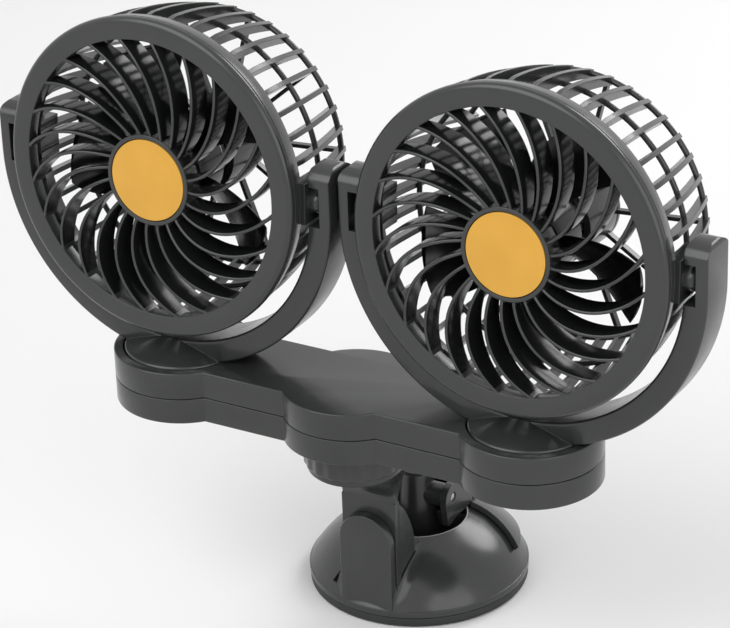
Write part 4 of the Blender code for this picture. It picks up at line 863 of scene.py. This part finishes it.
def lower_shell_mesh():
    """The bar's lower half, with the tube that turns on the neck's spindle."""
    floor = BAR_BOTTOM + BAR_FLOOR
    block = levelled(bar_outline, rounded_levels(BAR_BOTTOM, SEAM_LOW, BAR_EDGE, SEAM_EDGE))
    bore = NECK_SPINDLE_RADIUS + GAP
    tube = cylinder(bore + SPIGOT_TUBE_WALL, RING_BOTTOM + RING_BASE + GAP, floor, "Z", MEDIUM)
    radius = SCREW_HEAD_RADIUS + GAP
    seat = SEAM_LOW - LOWER_SHELL_HEIGHT / 2
    low = BAR_BOTTOM - OVERRUN
    high = SEAM_LOW + OVERRUN
    boss = cylinder(radius + BOSS_WALL, BAR_BOTTOM + BURIED, SEAM_LOW, "Z", SMALL // 2)
    hole = stepped_bore(radius, low, seat, SCREW_HOLE_RADIUS, high, SCREW_SEGMENTS)
    spindle_hole = cylinder(bore, RING_BOTTOM, floor + OVERRUN, "Z", MEDIUM)
    body = fused(cut(block, bar_hollow(floor, high)), joined([placed(boss, BAR_SCREW_PLACES), tube]))
    return cut(body, joined([placed(hole, BAR_SCREW_PLACES), spindle_hole]))


def clamp_ring_mesh():
    """The fluted ring, its ridges and grooves running softly into each other."""
    top = RING_BOTTOM + RING_HEIGHT
    base = RING_BOTTOM + RING_BASE
    bore = NECK_SPINDLE_RADIUS + GAP
    chamber = bore + SPIGOT_TUBE_WALL + GAP
    count = FLUTE_COUNT * CURVE_STEPS

    def outline(ease):
        points = []
        for index in range(count):
            angle = tau * index / count
            depth = FLUTE_DEPTH * FLUTE_SOFT_SHARE * sin(FLUTE_COUNT * angle / 2) ** 2
            radius = RING_RADIUS - depth - ease
            points.append((radius * cos(angle), radius * sin(angle)))
        return points

    body = levelled(outline, rounded_levels(RING_BOTTOM, top, FLUTE_DEPTH, EASE_RADIUS))
    return cut(body, stepped_bore(bore, RING_BOTTOM - OVERRUN, base, chamber, top + OVERRUN, MEDIUM))


# The neck and the suction mount

def bracket_screw_holes(front, back):
    return placed(cylinder(SCREW_HOLE_RADIUS, front, back, "Y", SCREW_SEGMENTS), BRACKET_SCREW_PLACES)


def rounded_section(half_width, front, back, height, blend):
    """A section that blends from a rounded oblong to a circle, as 3-D points round it."""
    power = 2 / (2 + NECK_SQUARENESS * (1 - blend))
    half_depth = (back - front) / 2
    points = []
    for x, y in circle(1, ARC_STEPS, pi / ARC_STEPS):
        across = copysign(abs(x) ** power, x)
        along = copysign(abs(y) ** power, y)
        points.append((half_width * across, front + half_depth * (1 + along), height))
    return points


def neck_mesh():
    """Plate, two cheeks, flared turret and spindle in one moulding."""
    front = -NECK_FRONT
    back = front + NECK_PLATE_THICKNESS
    foot = PAD_THICKNESS + GAP
    plate = box((-NECK_HALF_WIDTH, front, foot), (NECK_HALF_WIDTH, back, NECK_PLATE_TOP))
    root = back - BURIED
    cheek_back = back + CHEEK_DEPTH
    slope = [(mix(root, cheek_back, share) + CHEEK_BULGE * bow(share),
              mix(CHEEK_TOP, CHEEK_SHOULDER, share) + CHEEK_BULGE * bow(share))
             for share in shares(BEND_STEPS)]
    cheek_outline = [(root, foot + LIP_HEIGHT)] + slope + [(cheek_back, foot + LIP_HEIGHT)]
    cheeks = on_both_sides(cheek_outline, NECK_HALF_WIDTH - CHEEK_THICKNESS, NECK_HALF_WIDTH - GAP)
    turret_low = TURRET_TOP - TURRET_RIM
    power = log(NECK_FLARE_REACH_SHARE) / log(NECK_FLARE_RISE_SHARE)
    sections = []
    for rise in shares(NECK_SECTIONS):
        reach = rise ** power
        half_width = mix(NECK_HALF_WIDTH, TURRET_RADIUS, reach ** NECK_WIDTH_POWER)
        sections.append(rounded_section(half_width, mix(front, -BAR_AHEAD - TURRET_RADIUS, reach),
                                        mix(back, -BAR_AHEAD + TURRET_RADIUS, reach),
                                        mix(NECK_PLATE_TOP - BURIED, turret_low, rise), reach))
    top = BAR_BOTTOM + BAR_FLOOR + GAP
    turret = turned([(0, turret_low - BURIED), (TURRET_RADIUS - BURIED, turret_low - BURIED),
                     (TURRET_RADIUS, turret_low), (TURRET_RADIUS, TURRET_TOP),
                     (NECK_SPINDLE_RADIUS, TURRET_TOP), (NECK_SPINDLE_RADIUS, top), (0, top)], MEDIUM)
    spindle_hole = cylinder(SCREW_HOLE_RADIUS, TURRET_TOP, top + OVERRUN, "Z", SCREW_SEGMENTS)
    holes = [bracket_screw_holes(front - OVERRUN, back + OVERRUN),
             moved(spindle_hole, (0, -BAR_AHEAD, 0))]
    body = fused(plate, lofted(sections), cheeks, moved(turret, (0, -BAR_AHEAD, 0)))
    return cut(body, joined(holes))


def outward(line):
    """The unit normal of a line in the dome's section, on the side away from the axis."""
    normal = Vector((line.y, -line.x)).normalized()
    return normal if normal.x > 0 else -normal


def dome_point(share):
    """A point (radius, height) of the dome's outside, from its lip to its opening."""
    low = Vector((CUP_RADIUS - LIP_STEP, LIP_TOP))
    line = Vector((DOME_OPENING_RADIUS, DOME_TOP)) - low
    return low + line * share + outward(line) * DOME_BULGE * bow(share)


def dome_offset(share, distance):
    """The dome's outside moved out along its own normal."""
    step = 1 / (8 * DOME_STEPS)
    line = dome_point(min(1.0, share + step)) - dome_point(max(0.0, share - step))
    return dome_point(share) + outward(line) * distance


def plate_fillet(side):
    """The hollow run-out between one side of the cover plate and the dome."""
    sections = []
    root_x = COVER_HALF_WIDTH - FILLET_SINK
    inner_x = root_x - BURIED
    for share in shares(FILLET_SECTIONS):
        radius, height = dome_point(FILLET_HIGH_SHARE * share)
        radius -= FILLET_SINK
        size = FILLET_LEAST + FILLET_SIZE * (1 - share ** FILLET_POWER)
        far_x = root_x + size
        corner = Vector((root_x, -sqrt(radius ** 2 - root_x ** 2)))
        start = Vector((root_x, max(corner.y - size, COVER_EDGE - COVER_FACE_AHEAD)))
        far = Vector((far_x, -sqrt(radius ** 2 - far_x ** 2)))
        section = [(spot.x, spot.y) for spot in bend(start, corner, far, CURVE_STEPS)]
        section += [(far_x, far.y + DOME_WALL / 2), (inner_x, corner.y + DOME_WALL / 2),
                    (inner_x, start.y)]
        sections.append([(side * x, y, height) for x, y in section])
    return lofted(sections)


def dome_notch():
    """The small three-cornered gate mark in the dome, left of the cover plate."""
    outline = [(NOTCH_LEFT, NOTCH_LOW), (NOTCH_LEFT + NOTCH_WIDTH, NOTCH_LOW),
               (NOTCH_LEFT + NOTCH_WIDTH, NOTCH_LOW + NOTCH_HEIGHT)]
    return extruded(outline, -CUP_RADIUS, -NOTCH_BACK, "Y")


def plate_outline(inset):
    """The tombstone shape of the cover plate, drawn in by an inset."""
    radius = COVER_HALF_WIDTH - inset
    bottom = COVER_PLATE_BOTTOM + inset
    centre = (0, COVER_PLATE_TOP - COVER_HALF_WIDTH)
    return [(-radius, bottom), (radius, bottom)] + arc(centre, radius, 0, pi, PLATE_STEPS)


def base_shell_mesh():
    """The dome with its lip, cover plate and fillets, cut out behind the plate for the neck."""
    inside = [dome_offset(share, -DOME_WALL) for share in shares(DOME_STEPS)]
    inner_lip = CUP_RADIUS - LIP_STEP - DOME_WALL
    profile = [(CUP_RADIUS, LIP_BOTTOM), (CUP_RADIUS, LIP_TOP - LIP_STEP / 2),
               (CUP_RADIUS - LIP_STEP / 2, LIP_TOP)]
    profile += [tuple(dome_point(share)) for share in shares(DOME_STEPS)[:-1]]
    profile += [(DOME_OPENING_RADIUS + DOME_RIM_EDGE, DOME_TOP),
                (DOME_OPENING_RADIUS, DOME_TOP - DOME_RIM_EDGE),
                (DOME_OPENING_RADIUS, inside[-1].y - DOME_WALL)]
    profile += [tuple(point) for point in reversed(inside[1:-1])]
    profile += [(inner_lip, LIP_TOP - LIP_STEP), (inner_lip, LIP_BOTTOM)]
    front = -COVER_FACE_AHEAD
    back = front + COVER_PLATE_THICKNESS
    plate = levelled(plate_outline, rounded_levels(front, back, COVER_EDGE, 0), "Y")
    slot_half = NECK_HALF_WIDTH + TIGHT_GAP
    slot_back = back + GAP + NECK_PLATE_THICKNESS + CHEEK_DEPTH + GAP
    slot = box((-slot_half, back, LIP_BOTTOM - OVERRUN), (slot_half, slot_back, COVER_PLATE_TOP))
    holes = bracket_screw_holes(back - COVER_PLATE_THICKNESS * SCREW_DEPTH_SHARE, back + OVERRUN)
    body = fused(turned(profile, FINE), plate, joined([plate_fillet(-1), plate_fillet(1)]))
    return cut(body, slot, joined([holes, dome_notch()]))


def pad_mesh():
    """The suction pad with the pocket that holds the post's foot."""
    hub_inner = POST_FOOT_RADIUS + GAP
    hub_outer = hub_inner + PAD_HUB_WALL
    hub_top = PAD_THICKNESS + PAD_HUB_HEIGHT
    lip_under = hub_top - PAD_HUB_LIP
    neck = POST_RADIUS + GAP
    return turned([(0, 0), (PAD_RADIUS - PAD_BEVEL, 0), (PAD_RADIUS, PAD_BEVEL),
                   (PAD_RADIUS, PAD_THICKNESS), (hub_outer, PAD_THICKNESS), (hub_outer, hub_top),
                   (neck, hub_top), (neck, lip_under), (hub_inner, lip_under), (hub_inner, PAD_FLOOR),
                   (0, PAD_FLOOR)], FINE)


def cross_pin(radius, reach):
    """A round bar across the mount at the height of its pin."""
    return moved(cylinder(radius, -reach, reach, "X"), (0, 0, PIN_HEIGHT))


def post_mesh():
    """The post that pulls the pad up, with its foot and the pin's cross hole."""
    foot_top = PAD_THICKNESS + PAD_HUB_HEIGHT - PAD_HUB_LIP - GAP
    foot_low = foot_top - POST_FOOT_THICKNESS
    top = PIN_HEIGHT + POST_ABOVE_PIN
    edge = POST_RADIUS - POST_TOP_RADIUS
    body = turned([(0, foot_low), (POST_FOOT_RADIUS, foot_low), (POST_FOOT_RADIUS, foot_top),
                   (POST_RADIUS, foot_top), (POST_RADIUS, DOME_TOP), (POST_TOP_RADIUS, top - edge),
                   (POST_TOP_RADIUS - edge, top), (0, top)], MEDIUM)
    knuckle = cross_pin(KNUCKLE_RADIUS, EAR_OUTER - EAR_THICKNESS - GAP)
    return cut(fused(body, knuckle), cross_pin(PIN_RADIUS + GAP, EAR_OUTER))


def lever_wing():
    """The lever's handle: a curved plate that hugs the back of the dome."""
    sections = []
    for share in shares(BEND_STEPS):
        half = mix(LEVER_END_HALF_ANGLE, LEVER_TOP_HALF_ANGLE, share)
        section = []
        for distance, turn in ((LEVER_CLEARANCE, half), (LEVER_CLEARANCE + LEVER_THICKNESS, -half)):
            point = dome_offset(mix(LEVER_END_SHARE, LEVER_TOP_SHARE, share), distance)
            around = arc((0, 0), point.x, pi / 2 - turn, pi / 2 + turn, LEVER_SIDE_STEPS)
            section += [(x, y, point.y) for x, y in around]
        sections.append(section)
    return lofted(sections)


def lever_mesh():
    """Two ears on the pin, the hood over the post and the wing, in one moulding."""
    top_inner = dome_offset(LEVER_TOP_SHARE, LEVER_CLEARANCE)
    wing_y = top_inner.x * cos(LEVER_TOP_HALF_ANGLE) + LEVER_THICKNESS
    rim_top = DOME_TOP + EAR_RIM_CLEARANCE
    crown = HOOD_START + LEVER_THICKNESS / 2
    hood_top = PIN_HEIGHT + HOOD_TOP_ABOVE_PIN
    nose = arc((0, PIN_HEIGHT), EAR_NOSE_RADIUS, pi / 2, pi, FEW_STEPS)
    ear_outline = nose + [(-EAR_TIP_FRONT, EAR_BOTTOM), (-EAR_TIP_BACK, EAR_BOTTOM),
                          (EAR_TIP_BACK, rim_top), (HOOD_START, rim_top),
                          (wing_y, top_inner.y + LEVER_CLEARANCE),
                          (wing_y, top_inner.y + LEVER_THICKNESS * 2), (crown, hood_top)]
    ears = on_both_sides(ear_outline, EAR_OUTER - EAR_THICKNESS, EAR_OUTER)
    rear = top_inner.x + LEVER_THICKNESS / 2
    low = top_inner.y + LEVER_THICKNESS / 2
    hood_outline = [(HOOD_START, PIN_HEIGHT), (HOOD_START, hood_top), (crown, hood_top),
                    (rear + LEVER_THICKNESS / 2, low + LEVER_THICKNESS), (rear, low),
                    (rear - LEVER_THICKNESS, low + BURIED)]
    hood = extruded(hood_outline, -EAR_OUTER + BURIED, EAR_OUTER - BURIED, "X")
    return cut(fused(hood, ears, lever_wing()), cross_pin(PIN_RADIUS + GAP, EAR_OUTER + OVERRUN))


# Materials

def add_node(tree, kind, **values):
    """A shader node, with plain values for the inputs that are named."""
    node = tree.nodes.new("ShaderNode" + kind)
    for name, value in values.items():
        node.inputs[name].default_value = value
    return node


def new_material(name):
    """A material, its node tree and the sockets of its shader."""
    material = bpy.data.materials.new(name)
    material.use_nodes = True
    return material, material.node_tree, material.node_tree.nodes["Principled BSDF"].inputs


def noise(tree, measures):
    """Noise on the piece's own coordinates, from its scale, detail and roughness."""
    scale, detail, roughness = measures
    node = add_node(tree, "TexNoise", Scale=scale, Detail=detail, Roughness=roughness)
    tree.links.new(add_node(tree, "TexCoord").outputs["Object"], node.inputs["Vector"])
    return node.outputs["Fac"]


def ramp(tree, value, ends):
    """A colour that follows a texture between two ends."""
    node = add_node(tree, "ValToRGB")
    for element, position, colour in zip(node.color_ramp.elements, RAMP_REACH, ends):
        element.position = position
        element.color = (*colour, 1.0)
    tree.links.new(value, node.inputs["Fac"])
    return node.outputs["Color"]


def grained(name, colours, gloss, noises, relief):
    """A material whose colour, gloss and relief each follow a noise, and the sockets around them."""
    material, tree, shader = new_material(name)
    hue, polish, grain = [noise(tree, measures) for measures in noises]
    tree.links.new(ramp(tree, hue, colours), shader["Base Color"])
    greys = [(grey, grey, grey) for grey in gloss]
    tree.links.new(ramp(tree, polish, greys), shader["Roughness"])
    strength, depth = relief
    bump = add_node(tree, "Bump", Strength=strength, Distance=depth)
    tree.links.new(grain, bump.inputs["Height"])
    tree.links.new(bump.outputs["Normal"], shader["Normal"])
    return material, tree, shader, bump


def moulded_plastic(name, colours, gloss, shine=PLASTIC_SHINE):
    """Injection-moulded plastic: fine spark-eroded texture, faint flow marks, soft edges."""
    noises = (FLOW_NOISE, PATCH_NOISE, GRAIN_NOISE)
    material, tree, shader, bump = grained(name, colours, gloss, noises, GRAIN_RELIEF)
    soft_edge = add_node(tree, "Bevel", Radius=SOFT_EDGE_RADIUS)
    soft_edge.samples = SOFT_EDGE_SAMPLES
    tree.links.new(soft_edge.outputs["Normal"], bump.inputs["Normal"])
    shader["IOR"].default_value = PLASTIC_IOR
    shader["Specular IOR Level"].default_value = shine
    return material


def badge_material():
    """The bare orange disc: a satin foil with a faint spun grain."""
    noises = (CLOUD_NOISE, FOIL_NOISE, FOIL_NOISE)
    return grained("orange badge foil", FOIL_COLOURS, FOIL_GLOSS, noises, FOIL_RELIEF)[0]


def metal_material():
    """Plated steel with fine turning marks and small differences in gloss."""
    noises = (SCUFF_NOISE, SCUFF_NOISE, SCUFF_NOISE)
    material, tree, shader, bump = grained("plated steel", STEEL_COLOURS, STEEL_GLOSS, noises,
                                           SCUFF_RELIEF)
    shader["Metallic"].default_value = 1.0
    return material


def board_material():
    """Green solder mask with darker tracks."""
    material, tree, shader = new_material("circuit board lacquer")
    tracks = add_node(tree, "TexBrick", Scale=TRACK_SCALE, Color1=TRACK_COLOURS[0], Color2=TRACK_COLOURS[1],
                      Mortar=TRACK_COLOURS[2])
    tree.links.new(add_node(tree, "TexCoord").outputs["Object"], tracks.inputs["Vector"])
    tree.links.new(tracks.outputs["Color"], shader["Base Color"])
    shader["Roughness"].default_value = BOARD_ROUGHNESS
    return material


FINISHES = {
    "charcoal": moulded_plastic("charcoal moulded plastic", CHARCOAL_COLOURS, CHARCOAL_GLOSS),
    "black": moulded_plastic("black moulded plastic", BLACK_COLOURS, BLACK_GLOSS, DARK_SHINE),
    "rubber": moulded_plastic("suction rubber", RUBBER_COLOURS, RUBBER_GLOSS),
    "steel": metal_material(),
    "orange": badge_material(),
    "board": board_material(),
}
# Darker, glossier copy of the charcoal for the vanes' sides: painted shade
SHADED_VANE_SIDE = moulded_plastic("vane sides with painted shade", SHADED_VANE_SIDE_COLOURS, SHADED_VANE_SIDE_GLOSS, DARK_SHINE)
SATIN_BLACK = moulded_plastic("satin black plastic", SATIN_COLOURS, SATIN_GLOSS)
# Light grey finish for the dome's opening rim: a painted highlight
PAINTED_RIM_HIGHLIGHT = moulded_plastic("rim painted highlight", RIM_HIGHLIGHT_COLOURS, RIM_HIGHLIGHT_GLOSS)


# The shown pieces, each in the place of its solid

BODY_OF = {node: body for body, nodes in frame["record"]["behaviour"]["bodies"].items() for node in nodes}
SLOT_OF = {part["node"]: part["material_slot"] for part in frame["record"]["subparts"]}


def show(node, mesh, place=None, materials=None):
    """Puts a finer mesh in the place of a CAD node, on the node's own body."""
    if place is not None:
        mesh = mesh.copy()
        mesh.transform(place)
    piece = new_object(node + "_shape", mesh)
    finish_of_face = [face.material_index for face in mesh.polygons]
    mesh.materials.clear()
    for material in materials or [FINISHES[SLOT_OF[node]]]:
        mesh.materials.append(material)
    mesh.polygons.foreach_set("material_index", finish_of_face)
    mesh.shade_smooth()
    mesh.set_sharp_from_angle(angle=SHARP_ANGLE)
    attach(piece, BODY_OF[node])
    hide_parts(node)


def mark_shaded_vane_sides(grille):
    """Paints shade on the faces between hub and bezel that stand across the front: a darker, glossier
    second finish on the vanes' sides, which lie in shade deep between the vanes.
    """
    for face in grille.polygons:
        distance = hypot(face.center.x, face.center.z)
        between = HUB_RADIUS + BURIED < distance < OPENING_RADIUS - BURIED
        if between and abs(face.normal.y) < SHADED_SIDE_FACING:
            face.material_index = 1


def mark_rim_highlight(shell):
    """Paints a bright highlight line on the edge of the dome's opening, as its second finish."""
    for face in shell.polygons:
        off_rim = hypot(face.center.x, face.center.y) - DOME_OPENING_RADIUS
        if abs(off_rim) < RIM_HIGHLIGHT_WIDTH and face.center.z > DOME_TOP - RIM_HIGHLIGHT_WIDTH:
            face.material_index = 1


def dress_mount():
    show("suction_pad", pad_mesh())
    shell = base_shell_mesh()
    # The base shell's second finish is a painted highlight along the opening's rim
    mark_rim_highlight(shell)
    show("base_shell", shell, materials=[FINISHES["charcoal"], PAINTED_RIM_HIGHLIGHT])
    show("neck_bracket", neck_mesh())
    show("suction_post", post_mesh(), materials=[SATIN_BLACK])
    show("hinge_pin", cross_pin(PIN_RADIUS, EAR_OUTER - GAP))
    show("lock_lever", lever_mesh())


def dress_bar():
    place = Matrix.Translation((0, -BAR_AHEAD, 0))
    show("bar_lower_shell", lower_shell_mesh(), place)
    show("bar_upper_shell", upper_shell_mesh(), place)
    show("clamp_ring", clamp_ring_mesh(), place)


def dress_fans():
    grille = grille_mesh()
    mark_shaded_vane_sides(grille)
    head_meshes = {"hub_badge": badge_mesh(), "rear_cage": cage_mesh(), "motor": motor_mesh(),
                   "motor_cover": cover_mesh(), "speed_button": button_mesh()}
    yoke = yoke_mesh()
    impeller = impeller_mesh()
    for side, sign, rotor_turn in zip(("left", "right"), (-1, 1), ROTOR_REST_TURNS):
        swivel = (Matrix.Translation((sign * HEAD_SPACING / 2, -BAR_AHEAD, PIVOT_HEIGHT))
                  @ Matrix.Rotation(YOKE_REST_TURN, 4, "Z"))
        head = swivel @ Matrix.Rotation(-HEAD_REST_TILT, 4, "X")
        show(f"yoke_{side}", yoke, swivel)
        # The grille's second finish is painted shade on the vanes' sides
        show(f"front_grille_{side}", grille, head, [FINISHES["charcoal"], SHADED_VANE_SIDE])
        for name, mesh in head_meshes.items():
            show(f"{name}_{side}", mesh, head)
        show(f"impeller_{side}", impeller, head @ Matrix.Rotation(rotor_turn, 4, "Y"))


def dress_solids():
    """Smooths and finishes the solids themselves, of which the small ones stay in view."""
    for node, slot_name in SLOT_OF.items():
        mesh = frame["nodes"][node].data
        mesh.materials.clear()
        mesh.materials.append(FINISHES[slot_name])
        mesh.shade_smooth()
        mesh.set_sharp_from_angle(angle=SHARP_ANGLE)


# Stage

def white_for_camera(tree, plain, white):
    """White to camera, glossy and transmission rays, and the plain shader to the rest."""
    rays = add_node(tree, "LightPath").outputs
    any_ray = rays["Is Camera Ray"]
    for name in ("Is Glossy Ray", "Is Transmission Ray"):
        either = add_node(tree, "Math")
        either.operation = "MAXIMUM"
        tree.links.new(any_ray, either.inputs[0])
        tree.links.new(rays[name], either.inputs[1])
        any_ray = either.outputs[0]
    mixed = add_node(tree, "MixShader")
    for source, socket in zip((any_ray, plain, white), mixed.inputs):
        tree.links.new(source, socket)
    return mixed.outputs[0]


def build_world():
    world = bpy.data.worlds.new("studio")
    bpy.context.scene.world = world
    world.use_nodes = True
    tree = world.node_tree
    tree.nodes.clear()
    light = add_node(tree, "Background", Color=WHITE, Strength=WORLD_LIGHT)
    seen = add_node(tree, "Background", Color=WHITE, Strength=1.0)
    output = add_node(tree, "OutputWorld")
    tree.links.new(white_for_camera(tree, light.outputs[0], seen.outputs[0]), output.inputs[0])


def build_floor():
    mesh = bpy.data.meshes.new("floor")
    builder = bmesh.new()
    bmesh.ops.create_circle(builder, cap_ends=True, radius=FLOOR_RADIUS, segments=MEDIUM)
    builder.to_mesh(mesh)
    builder.free()
    floor = new_object("floor", mesh)
    floor.location = (0, 0, -FLOOR_DROP)
    material, tree, shader = new_material("pale floor")
    shader["Base Color"].default_value = FLOOR_COLOUR
    shader["Roughness"].default_value = FLOOR_ROUGHNESS
    mesh.materials.append(material)


def build_lights():
    for name, place, width, power in LAMPS:
        light = bpy.data.lights.new(name, "AREA")
        light.shape = "DISK"
        light.size = width
        light.energy = power
        lamp = new_object(name, light)
        lamp.location = place
        lamp.rotation_euler = (Vector(LAMP_TARGET) - Vector(place)).to_track_quat("-Z", "Y").to_euler()


def build_camera():
    back = Vector((sin(CAMERA_AZIMUTH) * cos(CAMERA_ELEVATION),
                   -cos(CAMERA_AZIMUTH) * cos(CAMERA_ELEVATION), sin(CAMERA_ELEVATION)))
    across = Vector((0, 0, 1)).cross(back).normalized()
    up = back.cross(across)
    turned_across = across * cos(CAMERA_ROLL) + up * sin(CAMERA_ROLL)
    turned_up = up * cos(CAMERA_ROLL) - across * sin(CAMERA_ROLL)
    data = bpy.data.cameras.new("camera")
    data.sensor_width = CAMERA_SENSOR
    data.lens = CAMERA_LENS
    data.shift_x, data.shift_y = CAMERA_SHIFT
    camera = new_object("camera", data)
    place = Matrix((turned_across, turned_up, back)).transposed().to_4x4()
    place.translation = Vector(CAMERA_TARGET) + back * CAMERA_DISTANCE
    camera.matrix_world = place
    bpy.context.scene.camera = camera


dress_solids()
dress_mount()
dress_bar()
dress_fans()
build_world()
build_floor()
build_lights()
build_camera()
bpy.context.scene.view_settings.view_transform = "Standard"
